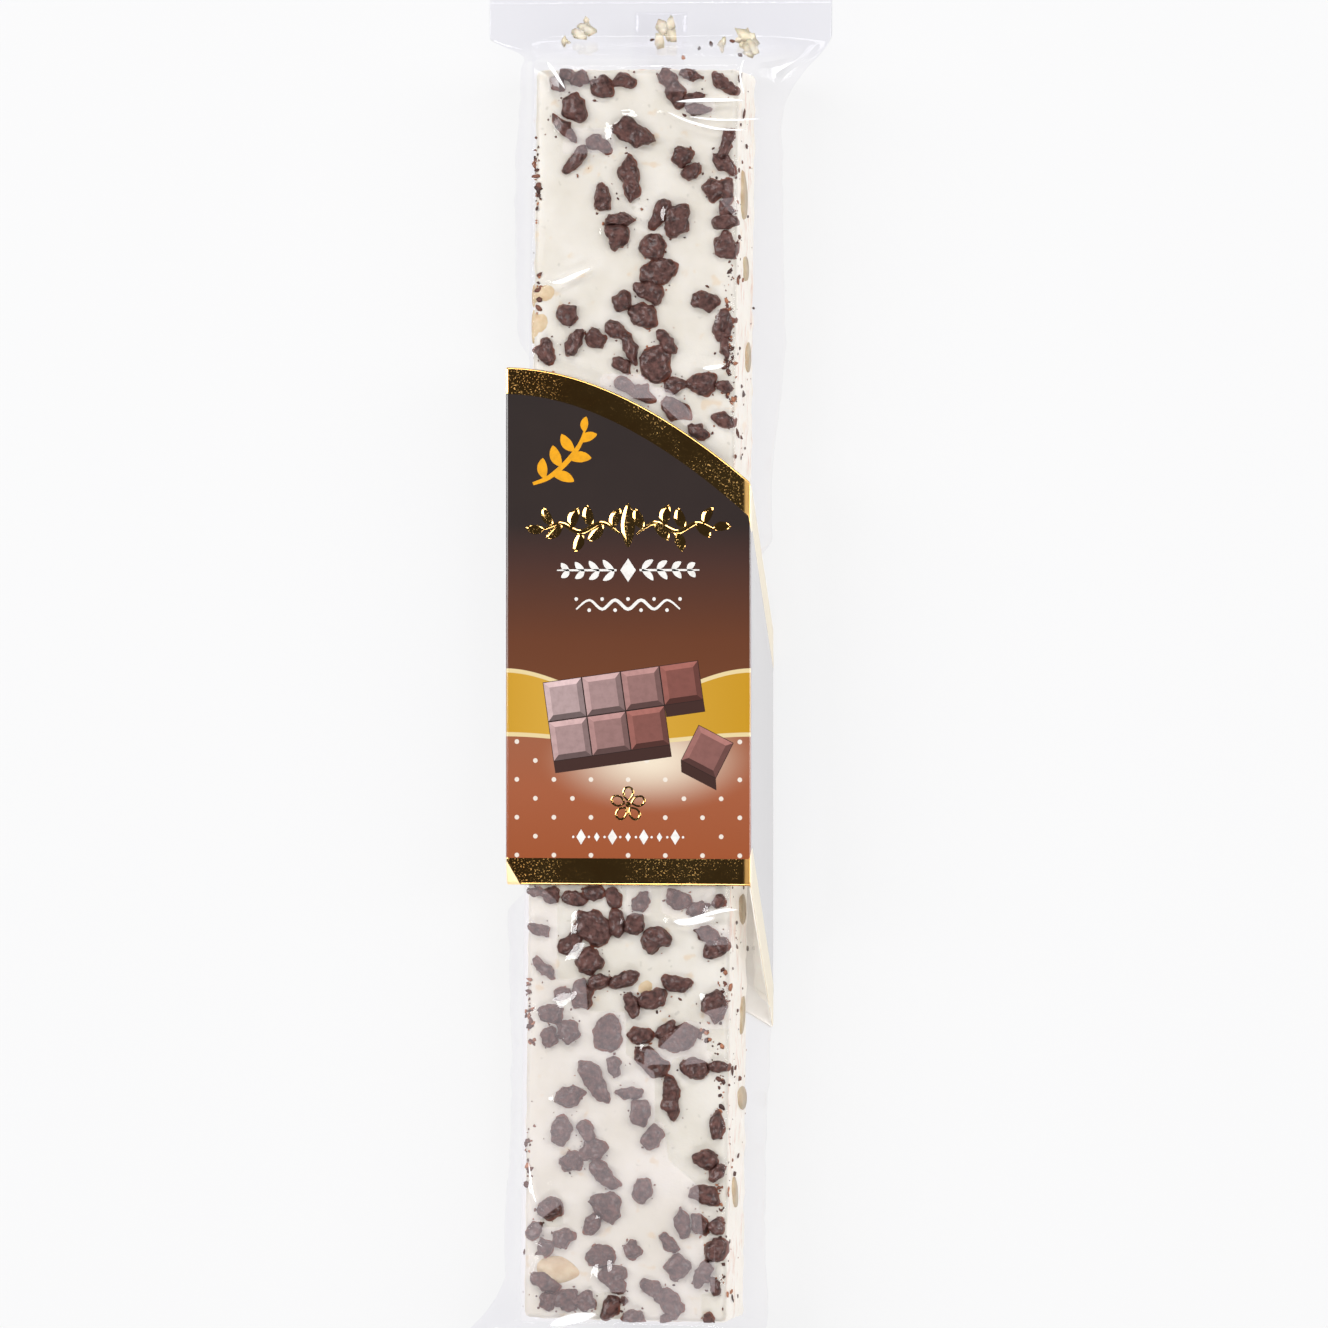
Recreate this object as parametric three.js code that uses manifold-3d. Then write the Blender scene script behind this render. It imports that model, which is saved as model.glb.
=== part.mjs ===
// Nougat bar in a clear flow-wrap bag, with a printed card sleeve round its middle, lying face up.
// Millimetres, +Z up, +Y along the bar, +X across it. The origin lies under the middle of the whole,
// on the surface that the sleeve's back panel rests on.

import * as THREE from 'three';
import { mergeVertices } from 'three/addons/utils/BufferGeometryUtils.js';
import Module from 'manifold-3d';

const wasm = await Module();
wasm.setup();

// The bar inside the bag, which lies a little askew in the sleeve
const barLength = 204;
const barWidth = 34;
const barTop = 18.9;
const barBottom = 1.3;
const barLean = -0.57 * Math.PI / 180;

// The bag round the bar: tight over its top and bottom, standing out in a fold along each side
const filmSlack = 0.4;
const shoulder = 1.6;
const shoulderDrop = 1.1;
const upperSlopeHeight = 12.8;
const lowerSlopeHeight = 4;
const ridgeHeight = 8;
const ridgeRound = 1.6;
const ridgeHalfWidth = 21.6;
const ridgeSwell = 0.4;
const ridgeWaves = 0.11;
const ridgeUpperRight = 1.1;
const ridgeUnderSleeve = 19.2;
const ridgeGap = { left: 0.8, right: 2 };
const ridgeRelease = 4;
const flareEarly = 95;
const flareLate = 104;
const seamHalfWidth = 4.5;
const seamEdge = 0.3;
const seamBottom = 0.9;
const bodyStations = 25;
const topWave = 0.25;
const topWaves = 0.21;
const topWaveStart = 60;
const topWaveFull = 80;

// The flattened ends with their crimped seals
const finRoot = 108;
const finEnd = 118;
const finHeight = 6.5;
const finHalfWidth = 28.6;
const finHalfThickness = 0.3;
const finShift = 1.6;
const crimpStart = 112.75;
const crimpPitch = 1.5;
const crimpRelief = 0.16;
const rampSteps = 5;

// The card sleeve
const sleeveWidth = 41;
const sleeveHeight = 20;
const board = 0.5;
const sleeveCorner = 0.9;
const sleeveTopLeft = 53.4;
const sleeveTopRight = 34.3;
const sleeveBottom = -30.9;
const sleeveSlope = 1.2;
const curvePull = { x: -2.1, y: 53.4 };
const tubeLength = 160;
const overcut = 1;

// The chopped chocolate pressed into the top of the bar: each trail runs from one place to another,
// with a bow to its left, a count of pieces and their usual length
const chocolateTrails = [
  { from: [-13, 99.5], to: [-3, 100], bow: 0, count: 4, size: 4.2 },
  { from: [-12, 96], to: [-9, 87.5], bow: 1.5, count: 4, size: 5.6 },
  { from: [-0.5, 92], to: [-3, 75.5], bow: -1.5, count: 4, size: 6.4 },
  { from: [4.5, 99.5], to: [10, 95.5], bow: 0, count: 3, size: 4.6 },
  { from: [9.5, 101], to: [16.5, 98.5], bow: 0, count: 3, size: 3.8 },
  { from: [16.5, 92], to: [12.5, 82.5], bow: -1, count: 4, size: 4.6 },
  { from: [7, 88], to: [9.5, 85], bow: 0, count: 2, size: 4.2 },
  { from: [16, 81], to: [15.5, 72.5], bow: 1, count: 3, size: 4.4 },
  { from: [4, 79], to: [6.5, 76.5], bow: 0, count: 2, size: 5.8 },
  { from: [3.5, 74], to: [-2, 53.5], bow: -1, count: 6, size: 5.2 },
  { from: [-2.5, 64], to: [-15, 56], bow: 2, count: 5, size: 4.7 },
  { from: [4.5, 57.5], to: [6.5, 50.5], bow: 1, count: 3, size: 5.6 },
  { from: [12.5, 64], to: [15.5, 45], bow: 2, count: 5, size: 5 },
  { from: [-11.5, 62], to: [-11.5, 62], bow: 0, count: 1, size: 4.4 },
  { from: [-15, -32.5], to: [1.5, -33.5], bow: 0, count: 6, size: 4.1 },
  { from: [8, -33.5], to: [15.5, -34.5], bow: 0, count: 3, size: 4.2 },
  { from: [-6.5, -38], to: [4, -39], bow: 0, count: 4, size: 5.6 },
  { from: [-10.5, -40.5], to: [-5, -46.5], bow: 0, count: 3, size: 4.9 },
  { from: [-14.5, -38.5], to: [-14.5, -44.5], bow: 0, count: 2, size: 4.5 },
  { from: [13, -38.5], to: [15, -41], bow: 0, count: 2, size: 5 },
  { from: [-1, -46], to: [8, -47.5], bow: -3, count: 4, size: 5.2 },
  { from: [-8, -48.5], to: [-13, -56], bow: 1, count: 5, size: 4.5 },
  { from: [-3.5, -55], to: [9.5, -55.5], bow: 0, count: 4, size: 5.8 },
  { from: [-2.5, -60.5], to: [5, -59.5], bow: 0, count: 3, size: 4.3 },
  { from: [11, -61], to: [15.5, -51], bow: -2, count: 3, size: 5.4 },
  { from: [-6, -62.5], to: [-10, -65.5], bow: 0, count: 2, size: 6.2 },
  { from: [0, -65], to: [7.5, -66.5], bow: 0, count: 3, size: 5.9 },
  { from: [4, -72], to: [4, -72], bow: 0, count: 1, size: 4.3 },
  { from: [-11, -70.5], to: [-4, -78.5], bow: 1.5, count: 5, size: 5.4 },
  { from: [2.5, -80.5], to: [2.5, -80.5], bow: 0, count: 1, size: 4.3 },
  { from: [15.5, -70], to: [13, -81.5], bow: 1, count: 4, size: 4.9 },
  { from: [-13.5, -84], to: [-13, -90.5], bow: -1, count: 3, size: 4.7 },
  { from: [-3.5, -83.5], to: [-6.5, -86.5], bow: 0, count: 2, size: 5.4 },
  { from: [9.5, -85.5], to: [15.5, -90], bow: 1, count: 4, size: 4.6 },
  { from: [7, -88.5], to: [-2.5, -96], bow: -1, count: 5, size: 4.6 },
  { from: [13.5, -93.5], to: [5, -99], bow: -1, count: 4, size: 5.1 },
  { from: [-14, -95.5], to: [-3.5, -99.5], bow: -1.5, count: 5, size: 4.9 },
  { from: [1.5, -101], to: [13, -101], bow: 0, count: 3, size: 3.6 },
];
const chocolateSeed = 41;
const chocolateScatter = 1;
const chocolateRise = 0.85;
const chocolateDepth = 1.6;
const chocolateEdge = 15.9;
const sleeveClearance = 1;
const cutterHeight = 8;
const lumpRoughness = 0.28;

function makeDraw(seed) {
  let state = seed;
  return () => {
    state = (state * 1664525 + 1013904223) % 4294967296;
    return state / 4294967296;
  };
}

function mix(a, b, t) {
  return a + (b - a) * t;
}

function ramp(value, start, end) {
  return Math.min(1, Math.max(0, (value - start) / (end - start)));
}

function smooth(value, start, end) {
  const t = ramp(value, start, end);
  return t * t * (3 - 2 * t);
}

function toSolid(geometry) {
  geometry.deleteAttribute('normal');
  geometry.deleteAttribute('uv');
  const merged = mergeVertices(geometry, 1e-3);
  return new wasm.Manifold(new wasm.Mesh({
    numProp: 3,
    vertProperties: new Float32Array(merged.attributes.position.array),
    triVerts: new Uint32Array(merged.index.array),
  }));
}

function toGeometry(solid) {
  const mesh = solid.getMesh();
  const geometry = new THREE.BufferGeometry();
  geometry.setAttribute('position', new THREE.BufferAttribute(mesh.vertProperties, 3));
  geometry.setIndex(new THREE.BufferAttribute(mesh.triVerts, 1));
  geometry.computeVertexNormals();
  return geometry;
}

// How far the edges of the sleeve lie below their places on the front, at a place on its sides or
// back: nothing along the left side, and more with depth towards the right
function sleeveDrop(x, z) {
  const share = (x + sleeveWidth / 2) / sleeveWidth;
  return (sleeveHeight - z) * sleeveSlope * share;
}

// Stretch of the bar beside which the sleeve holds in the fold of film on one side
function heldSpan(side) {
  const drop = sleeveDrop(side * sleeveWidth / 2, ridgeHeight);
  const gap = side > 0 ? ridgeGap.right : ridgeGap.left;
  const top = side > 0 ? sleeveTopRight : sleeveTopLeft;
  return { low: sleeveBottom - drop - gap, high: top - drop + gap };
}

// Half width of the fold of film that stands out along each side of the bar at station y
function ridgeAt(y, side) {
  const span = heldSpan(side);
  const outside = Math.max(y - span.high, span.low - y);
  const free = smooth(outside, 0, ridgeRelease);
  const upperRight = side > 0 ? ridgeUpperRight * smooth(y, sleeveTopRight, sleeveTopLeft) : 0;
  const swell = (upperRight + ridgeSwell * Math.sin(y * ridgeWaves + side)) * free;
  return mix(ridgeUnderSleeve, ridgeHalfWidth + swell, free);
}

// Half of the bag's section round the bar, from the middle of the top to the seam below: x and z
// there, and the share of the half width that the point takes in the flattened end
function halfSection(y, side) {
  const edge = barWidth / 2;
  const ridge = ridgeAt(y, side);
  const top = barTop + topWave * Math.sin(y * topWaves) * smooth(Math.abs(y), topWaveStart, topWaveFull);
  return [
    { x: 0, z: top, flat: 0 },
    { x: edge * 0.5, z: top, flat: 0.28 },
    { x: edge - shoulder, z: top, flat: 0.52 },
    { x: edge + filmSlack, z: top - shoulderDrop, flat: 0.66 },
    { x: mix(edge, ridge, 0.55), z: upperSlopeHeight, flat: 0.8, loose: true },
    { x: ridge - ridgeRound / 4, z: ridgeHeight + ridgeRound, flat: 0.94, loose: true },
    { x: ridge, z: ridgeHeight, flat: 1, loose: true, fold: true },
    { x: ridge - ridgeRound / 3, z: ridgeHeight - ridgeRound, flat: 0.94, loose: true },
    { x: mix(edge, ridge, 0.45), z: lowerSlopeHeight, flat: 0.8, loose: true },
    { x: edge + filmSlack / 2, z: barBottom + shoulderDrop, flat: 0.66 },
    { x: edge - shoulder, z: barBottom, flat: 0.52 },
    { x: seamHalfWidth + seamEdge, z: barBottom, flat: 0.16 },
    { x: seamHalfWidth, z: seamBottom, flat: 0.14 },
    { x: 0, z: seamBottom, flat: 0 },
  ];
}

// A point of the bag's section at station y, where the bar's section passes into the flat end seal
function sectionPoint(y, index) {
  const sides = { right: halfSection(y, 1), left: halfSection(y, -1) };
  const last = sides.right.length - 1;
  const onRight = index <= last;
  const step = onRight ? index : 2 * last - index;
  const point = onRight ? sides.right[step] : sides.left[step];
  const foldStep = sides.right.findIndex((entry) => entry.fold);
  const reach = Math.abs(y);
  const falling = ramp(reach, barLength / 2 + filmSlack, finRoot);
  const early = onRight === y > 0;
  const flaring = smooth(reach, early ? flareEarly : flareLate, finRoot);
  const widening = point.loose ? flaring : falling;
  const crimpTurn = (reach - crimpStart) * Math.PI * 2 / crimpPitch;
  const crimp = reach > crimpStart ? crimpRelief * Math.sin(crimpTurn) : 0;
  const flatZ = finHeight + crimp + Math.sign(foldStep - step) * finHalfThickness;
  const across = mix(point.x, point.flat * finHalfWidth, widening);
  return new THREE.Vector3(
    (onRight ? across : -across) + Math.sign(y) * finShift * falling,
    y,
    mix(point.z, flatZ, falling),
  );
}

function stationList() {
  const reach = barLength / 2 + filmSlack;
  const stations = [];
  for (let i = 0; i <= bodyStations; i += 1) {
    stations.push(mix(-reach, reach, i / bodyStations));
  }
  for (let i = 1; i <= rampSteps; i += 1) {
    stations.push(mix(reach, finRoot, i / rampSteps));
    stations.push(-mix(reach, finRoot, i / rampSteps));
  }
  for (let y = crimpStart + crimpPitch / 4; y < finEnd; y += crimpPitch / 2) {
    stations.push(y);
    stations.push(-y);
  }
  for (const y of [crimpStart, finEnd]) {
    stations.push(y);
    stations.push(-y);
  }
  for (const side of [-1, 1]) {
    const span = heldSpan(side);
    for (const away of [0, ridgeRelease]) {
      stations.push(span.low - away);
      stations.push(span.high + away);
    }
  }
  return stations.sort((a, b) => a - b);
}

function bagSolid() {
  const around = 2 * (halfSection(0, 1).length - 1);
  const stations = stationList();
  const rows = stations.length - 1;
  const geometry = new THREE.CylinderGeometry(1, 1, 1, around, rows, false);
  const position = geometry.attributes.position;
  for (let i = 0; i < position.count; i += 1) {
    const row = Math.round((position.getY(i) + 0.5) * rows);
    const radius = Math.hypot(position.getX(i), position.getZ(i));
    const angle = Math.atan2(position.getX(i), position.getZ(i));
    const index = (Math.round(angle / (2 * Math.PI) * around) + around) % around;
    const y = stations[row];
    const rim = sectionPoint(y, index);
    const centre = new THREE.Vector3(Math.sign(y) * finShift, y, finHeight);
    const place = radius > 0.5 ? rim : centre;
    position.setXYZ(i, place.x, place.y, place.z);
  }
  return toSolid(geometry);
}

// Places and sizes of the chocolate pieces, drawn in one fixed order
function chocolatePieces() {
  const draw = makeDraw(chocolateSeed);
  const pieces = [];
  for (const trail of chocolateTrails) {
    const dx = trail.to[0] - trail.from[0];
    const dy = trail.to[1] - trail.from[1];
    const span = Math.hypot(dx, dy) || 1;
    for (let i = 0; i < trail.count; i += 1) {
      const t = trail.count > 1 ? i / (trail.count - 1) : 0;
      const out = trail.bow * 4 * t * (1 - t);
      const x = trail.from[0] + dx * t - dy / span * out + chocolateScatter * (draw() - 0.5);
      const y = trail.from[1] + dy * t + dx / span * out + chocolateScatter * (draw() - 0.5);
      pieces.push({
        x: Math.min(chocolateEdge, Math.max(-chocolateEdge, x)),
        y,
        size: trail.size * (0.82 + 0.42 * draw()),
        slim: 0.55 + 0.3 * draw(),
        turn: Math.PI * draw(),
      });
    }
  }
  return pieces;
}

// Front edge of the sleeve on the bar's top at x, for its slanting upper end
function sleeveEdgeAt(x) {
  const half = sleeveWidth / 2;
  const t = ramp(x, -half, half);
  return mix(mix(sleeveTopLeft, curvePull.y, t), mix(curvePull.y, sleeveTopRight, t), t);
}

function clearOfSleeve(piece) {
  const reach = piece.size / 2 + sleeveClearance;
  return piece.y - reach > sleeveEdgeAt(piece.x - reach) || piece.y + reach < sleeveBottom;
}

// One chopped piece as a low bump: a faceted lump, flattened and turned, partly sunk in the bar
function pieceSolid(piece, draw) {
  const ball = new THREE.IcosahedronGeometry(1, 0);
  const lump = mergeVertices(ball.deleteAttribute('uv').deleteAttribute('normal'));
  const position = lump.attributes.position;
  for (let i = 0; i < position.count; i += 1) {
    const grow = 1 + lumpRoughness * (draw() - 0.5);
    position.setXYZ(i, position.getX(i) * grow, position.getY(i) * grow, position.getZ(i));
  }
  lump.scale(piece.size / 2, piece.size * piece.slim / 2, (chocolateRise + chocolateDepth) / 2);
  lump.rotateZ(piece.turn);
  lump.translate(piece.x, piece.y, barTop + (chocolateRise - chocolateDepth) / 2);
  return toSolid(lump);
}

// The knife cut the pieces flush with the bar's sides and ends
function withinCuts() {
  const block = new THREE.BoxGeometry(barWidth + filmSlack, barLength + filmSlack, cutterHeight);
  block.translate(0, 0, barTop);
  return toSolid(block);
}

function filmWrappedBar() {
  const draw = makeDraw(chocolateSeed + 1);
  const lumps = chocolatePieces().filter(clearOfSleeve).map((piece) => pieceSolid(piece, draw));
  const topping = wasm.Manifold.union(lumps).intersect(withinCuts());
  const geometry = toGeometry(bagSolid().add(topping));
  geometry.rotateZ(barLean);
  return geometry;
}

function roundedBox(path, halfWidth, low, high, radius) {
  path.moveTo(-halfWidth + radius, low);
  path.lineTo(halfWidth - radius, low);
  path.absarc(halfWidth - radius, low + radius, radius, -Math.PI / 2, 0);
  path.lineTo(halfWidth, high - radius);
  path.absarc(halfWidth - radius, high - radius, radius, 0, Math.PI / 2);
  path.lineTo(-halfWidth + radius, high);
  path.absarc(-halfWidth + radius, high - radius, radius, Math.PI / 2, Math.PI);
  path.lineTo(-halfWidth, low + radius);
  path.absarc(-halfWidth + radius, low + radius, radius, Math.PI, Math.PI * 1.5);
  return path;
}

// The sleeve is a tube of board. On the front its upper edge sweeps down to the right, and its lower
// edge is level. Along the right side both edges slant down, and along the left side they are level
function cardSleeve() {
  const half = sleeveWidth / 2;
  const section = roundedBox(new THREE.Shape(), half, 0, sleeveHeight, sleeveCorner);
  const bore = roundedBox(new THREE.Path(), half - board, board, sleeveHeight - board, sleeveCorner - board);
  section.holes.push(bore);
  const tubeSettings = { depth: tubeLength, bevelEnabled: false, curveSegments: 4 };
  const tube = new THREE.ExtrudeGeometry(section, tubeSettings);
  tube.rotateX(Math.PI / 2);
  tube.translate(0, tubeLength / 2, 0);

  const outline = new THREE.Shape();
  outline.moveTo(-half - overcut, sleeveBottom);
  outline.lineTo(half + overcut, sleeveBottom);
  outline.lineTo(half + overcut, sleeveTopRight - overcut);
  outline.lineTo(half, sleeveTopRight);
  outline.quadraticCurveTo(curvePull.x, curvePull.y, -half, sleeveTopLeft);
  outline.lineTo(-half - overcut, sleeveTopLeft);
  const depth = sleeveHeight + 2 * overcut;
  const cutSettings = { depth, steps: depth / overcut, bevelEnabled: false, curveSegments: 10 };
  const cut = new THREE.ExtrudeGeometry(outline, cutSettings);
  cut.translate(0, 0, -overcut);
  const position = cut.attributes.position;
  for (let i = 0; i < position.count; i += 1) {
    position.setY(i, position.getY(i) - sleeveDrop(position.getX(i), position.getZ(i)));
  }
  return toGeometry(toSolid(tube).intersect(toSolid(cut)));
}

const filmMaterial = new THREE.MeshStandardMaterial({ color: 0xefe9dc, roughness: 0.15, metalness: 0 });
const cardMaterial = new THREE.MeshStandardMaterial({ color: 0x6d452c, roughness: 0.4, metalness: 0 });

const bag = new THREE.Mesh(filmWrappedBar(), filmMaterial);
bag.name = 'film_wrapped_bar';
const sleeve = new THREE.Mesh(cardSleeve(), cardMaterial);
sleeve.name = 'card_sleeve';

const group = new THREE.Group();
group.add(bag);
group.add(sleeve);

export default group;
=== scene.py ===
import math

import bmesh
import bpy
import numpy as np
from mathutils import Matrix, Vector, noise
from mathutils.geometry import delaunay_2d_cdt


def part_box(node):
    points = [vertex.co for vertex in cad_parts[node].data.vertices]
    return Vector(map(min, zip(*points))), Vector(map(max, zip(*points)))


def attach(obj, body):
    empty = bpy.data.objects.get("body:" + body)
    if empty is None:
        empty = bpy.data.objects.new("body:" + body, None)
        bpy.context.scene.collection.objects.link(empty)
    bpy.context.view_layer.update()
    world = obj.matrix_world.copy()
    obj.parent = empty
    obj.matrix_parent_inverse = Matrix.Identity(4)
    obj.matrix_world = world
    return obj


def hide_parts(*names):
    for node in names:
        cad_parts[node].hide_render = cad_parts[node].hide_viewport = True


# Wrapped nougat bar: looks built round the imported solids.
# Shapes are worked out in millimetres and scaled to metres when a piece is finished.

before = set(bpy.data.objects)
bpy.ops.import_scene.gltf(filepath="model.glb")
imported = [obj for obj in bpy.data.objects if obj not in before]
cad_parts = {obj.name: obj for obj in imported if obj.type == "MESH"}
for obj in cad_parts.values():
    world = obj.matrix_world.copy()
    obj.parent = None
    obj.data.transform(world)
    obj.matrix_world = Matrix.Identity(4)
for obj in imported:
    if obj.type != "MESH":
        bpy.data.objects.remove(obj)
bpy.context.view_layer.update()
mm = 0.001
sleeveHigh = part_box("card_sleeve")[1] / mm
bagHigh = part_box("film_wrapped_bar")[1] / mm

bar = {
    "halfLength": 102,
    "halfWidth": 17,
    "top": 18.0,
    "bottom": 1.5,
    "lean": math.radians(-0.57),  # the bar lies a little askew in its sleeve
}

# how the photo's pixels lie on the bar
photo = {
    "middle": 651.5,  # the column of the sleeve's middle
    "upperEnd": 68,  # the row of the bar's upper end
    "scale": 6.147,  # pixels to a millimetre
    "turn": math.radians(11),  # how far the camera stands to the right
    "height": 20,  # how high the shown face lies, in millimetres
}


# Small helpers

def makeDraw(seed):
    state = [seed]

    def draw():
        state[0] = (state[0] * 1664525 + 1013904223) % 4294967296
        return state[0] / 4294967296

    return draw


def mix(a, b, t):
    return a + (b - a) * t


def ramp(value, start, end):
    return min(1, max(0, (value - start) / (end - start)))


def smooth(value, start, end):
    t = ramp(value, start, end)
    return t * t * (3 - 2 * t)


def gridSheet(bm, across, along, place, paint=None):  # a grid whose vertex (i, j) goes where place says
    verts = bmesh.ops.create_grid(bm, x_segments=across, y_segments=along, size=1)["verts"]
    for vert in verts:
        i = round((vert.co.x + 1) / 2 * across)
        j = round((vert.co.y + 1) / 2 * along)
        vert.co = place(i, j)
        if paint:
            paint(vert, i, j)
    return verts


def closeShell(bm, distance=1e-4):
    bmesh.ops.remove_doubles(bm, verts=bm.verts, dist=distance)
    bmesh.ops.recalc_face_normals(bm, faces=bm.faces)


def finishPiece(name, bm, materials, leaning=False, shadeSmooth=True):
    if leaning:
        turn = Matrix.Rotation(bar["lean"], 3, "Z")
        bmesh.ops.rotate(bm, cent=(0, 0, 0), matrix=turn, verts=bm.verts)
    bmesh.ops.scale(bm, vec=(mm, mm, mm), verts=bm.verts)
    mesh = bpy.data.meshes.new(name)
    bm.to_mesh(mesh)
    bm.free()
    for material in materials:
        mesh.materials.append(material)
    mesh.polygons.foreach_set("use_smooth", [shadeSmooth] * len(mesh.polygons))
    piece = bpy.data.objects.new(name, mesh)
    bpy.context.scene.collection.objects.link(piece)
    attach(piece, "root")
    return piece


# Node helpers

def newMaterial(name):
    material = bpy.data.materials.new(name)
    material.use_nodes = True
    tree = material.node_tree
    tree.nodes.clear()
    return material, tree


def addNode(tree, kind, **settings):
    node = tree.nodes.new(kind)
    for key, value in settings.items():
        setattr(node, key, value)
    return node


def setInputs(node, values):
    for key, value in values.items():
        node.inputs[key].default_value = value


def mathNode(tree, operation, first, second=None, third=None, clamp=False):
    node = addNode(tree, "ShaderNodeMath", operation=operation, use_clamp=clamp)
    for slot, value in enumerate((first, second, third)):
        if value is None:
            continue
        if isinstance(value, (int, float)):
            node.inputs[slot].default_value = value
        else:
            tree.links.new(value, node.inputs[slot])
    return node.outputs[0]


def mixColour(tree, factor, first, second, blend="MIX"):
    node = addNode(tree, "ShaderNodeMix", data_type="RGBA", blend_type=blend)
    for slot, value in ((0, factor), (6, first), (7, second)):
        if isinstance(value, (int, float, tuple)):
            node.inputs[slot].default_value = value
        else:
            tree.links.new(value, node.inputs[slot])
    return node.outputs[2]


def noiseNode(tree, coordinates, scale, detail=3.0, roughness=0.55):
    node = addNode(tree, "ShaderNodeTexNoise")
    setInputs(node, {"Scale": scale, "Detail": detail, "Roughness": roughness})
    tree.links.new(coordinates, node.inputs["Vector"])
    return node.outputs["Fac"]


def rampNode(tree, factor, stops):
    node = addNode(tree, "ShaderNodeValToRGB")
    elements = node.color_ramp.elements
    while len(elements) < len(stops):
        elements.new(0.5)
    for element, (position, colour) in zip(elements, stops):
        element.position = position
        element.color = (*colour, 1)
    tree.links.new(factor, node.inputs[0])
    return node.outputs["Color"]


def mapRange(tree, value, fromLow, fromHigh, toLow=0.0, toHigh=1.0, kind="SMOOTHSTEP"):
    node = addNode(tree, "ShaderNodeMapRange", interpolation_type=kind)
    setInputs(node, {1: fromLow, 2: fromHigh, 3: toLow, 4: toHigh})
    tree.links.new(value, node.inputs[0])
    return node.outputs[0]


def bumpNode(tree, height, strength, distance):
    node = addNode(tree, "ShaderNodeBump")
    setInputs(node, {"Strength": strength, "Distance": distance})
    tree.links.new(height, node.inputs["Height"])
    return node.outputs["Normal"]


def principled(tree, values):
    shader = addNode(tree, "ShaderNodeBsdfPrincipled")
    setInputs(shader, values)
    output = addNode(tree, "ShaderNodeOutputMaterial")
    tree.links.new(shader.outputs[0], output.inputs["Surface"])
    return shader


def makeGrainGroup():  # two sizes of mottling and the height that goes with them
    group = bpy.data.node_groups.new("surfaceGrain", "ShaderNodeTree")
    for name, kind, value in (
        ("Vector", "NodeSocketVector", None),
        ("Coarse", "NodeSocketFloat", 90.0),
        ("Fine", "NodeSocketFloat", 900.0),
        ("Balance", "NodeSocketFloat", 0.4),
    ):
        socket = group.interface.new_socket(name=name, in_out="INPUT", socket_type=kind)
        if value is not None:
            socket.default_value = value
    group.interface.new_socket(name="Mottle", in_out="OUTPUT", socket_type="NodeSocketFloat")
    group.interface.new_socket(name="Height", in_out="OUTPUT", socket_type="NodeSocketFloat")
    enter = addNode(group, "NodeGroupInput")
    leave = addNode(group, "NodeGroupOutput")
    coarse = addNode(group, "ShaderNodeTexNoise")
    setInputs(coarse, {"Detail": 3.0, "Roughness": 0.6})
    group.links.new(enter.outputs["Vector"], coarse.inputs["Vector"])
    group.links.new(enter.outputs["Coarse"], coarse.inputs["Scale"])
    fine = addNode(group, "ShaderNodeTexNoise")
    setInputs(fine, {"Detail": 4.0, "Roughness": 0.65})
    group.links.new(enter.outputs["Vector"], fine.inputs["Vector"])
    group.links.new(enter.outputs["Fine"], fine.inputs["Scale"])
    blend = addNode(group, "ShaderNodeMix", data_type="FLOAT")
    group.links.new(enter.outputs["Balance"], blend.inputs[0])
    group.links.new(coarse.outputs["Fac"], blend.inputs[2])
    group.links.new(fine.outputs["Fac"], blend.inputs[3])
    group.links.new(coarse.outputs["Fac"], leave.inputs["Mottle"])
    group.links.new(blend.outputs[0], leave.inputs["Height"])
    return group


grainGroup = makeGrainGroup()


def grain(tree, coordinates, coarse, fine, balance=0.4):
    node = addNode(tree, "ShaderNodeGroup", node_tree=grainGroup)
    setInputs(node, {"Coarse": coarse, "Fine": fine, "Balance": balance})
    tree.links.new(coordinates, node.inputs["Vector"])
    return node.outputs["Mottle"], node.outputs["Height"]


def objectCoordinates(tree):
    return addNode(tree, "ShaderNodeTexCoord").outputs["Object"]


# Outline of the card sleeve

sleeve = {
    "halfWidth": sleeveHigh.x,
    "height": sleeveHigh.z,
    "corner": 0.5,
    "topLeft": sleeveHigh.y,
    "topRight": 34.3,
    "bottom": -30.9,
    "slope": 1.2,
    "pull": (-2.1, sleeveHigh.y),
}


def sleeveDrop(x, z):  # how far the edges lie below their places on the front
    share = (x + sleeve["halfWidth"]) / (2 * sleeve["halfWidth"])
    return (sleeve["height"] - z) * sleeve["slope"] * share


def sleeveTopEdge(x, z):
    half = sleeve["halfWidth"]
    low, high = 0, 1
    for _ in range(30):  # the curve's own parameter at x
        t = (low + high) / 2
        at = (1 - t) ** 2 * -half + 2 * t * (1 - t) * sleeve["pull"][0] + t * t * half
        low, high = (t, high) if at < x else (low, t)
    y = (1 - t) ** 2 * sleeve["topLeft"] + 2 * t * (1 - t) * sleeve["pull"][1] + t * t * sleeve["topRight"]
    return y - sleeveDrop(x, z)


def sleeveBottomEdge(x, z):
    return sleeve["bottom"] - sleeveDrop(x, z)


def onBar(column, row):  # a place read in the photo, in the bar's own millimetres
    aside = (column - photo["middle"]) / photo["scale"] + photo["height"] * math.sin(photo["turn"])
    x = aside / math.cos(photo["turn"])
    y = bar["halfLength"] - (row - photo["upperEnd"]) / photo["scale"]
    return x + bar["lean"] * y, y - bar["lean"] * x


# Chopped chocolate: places

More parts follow.
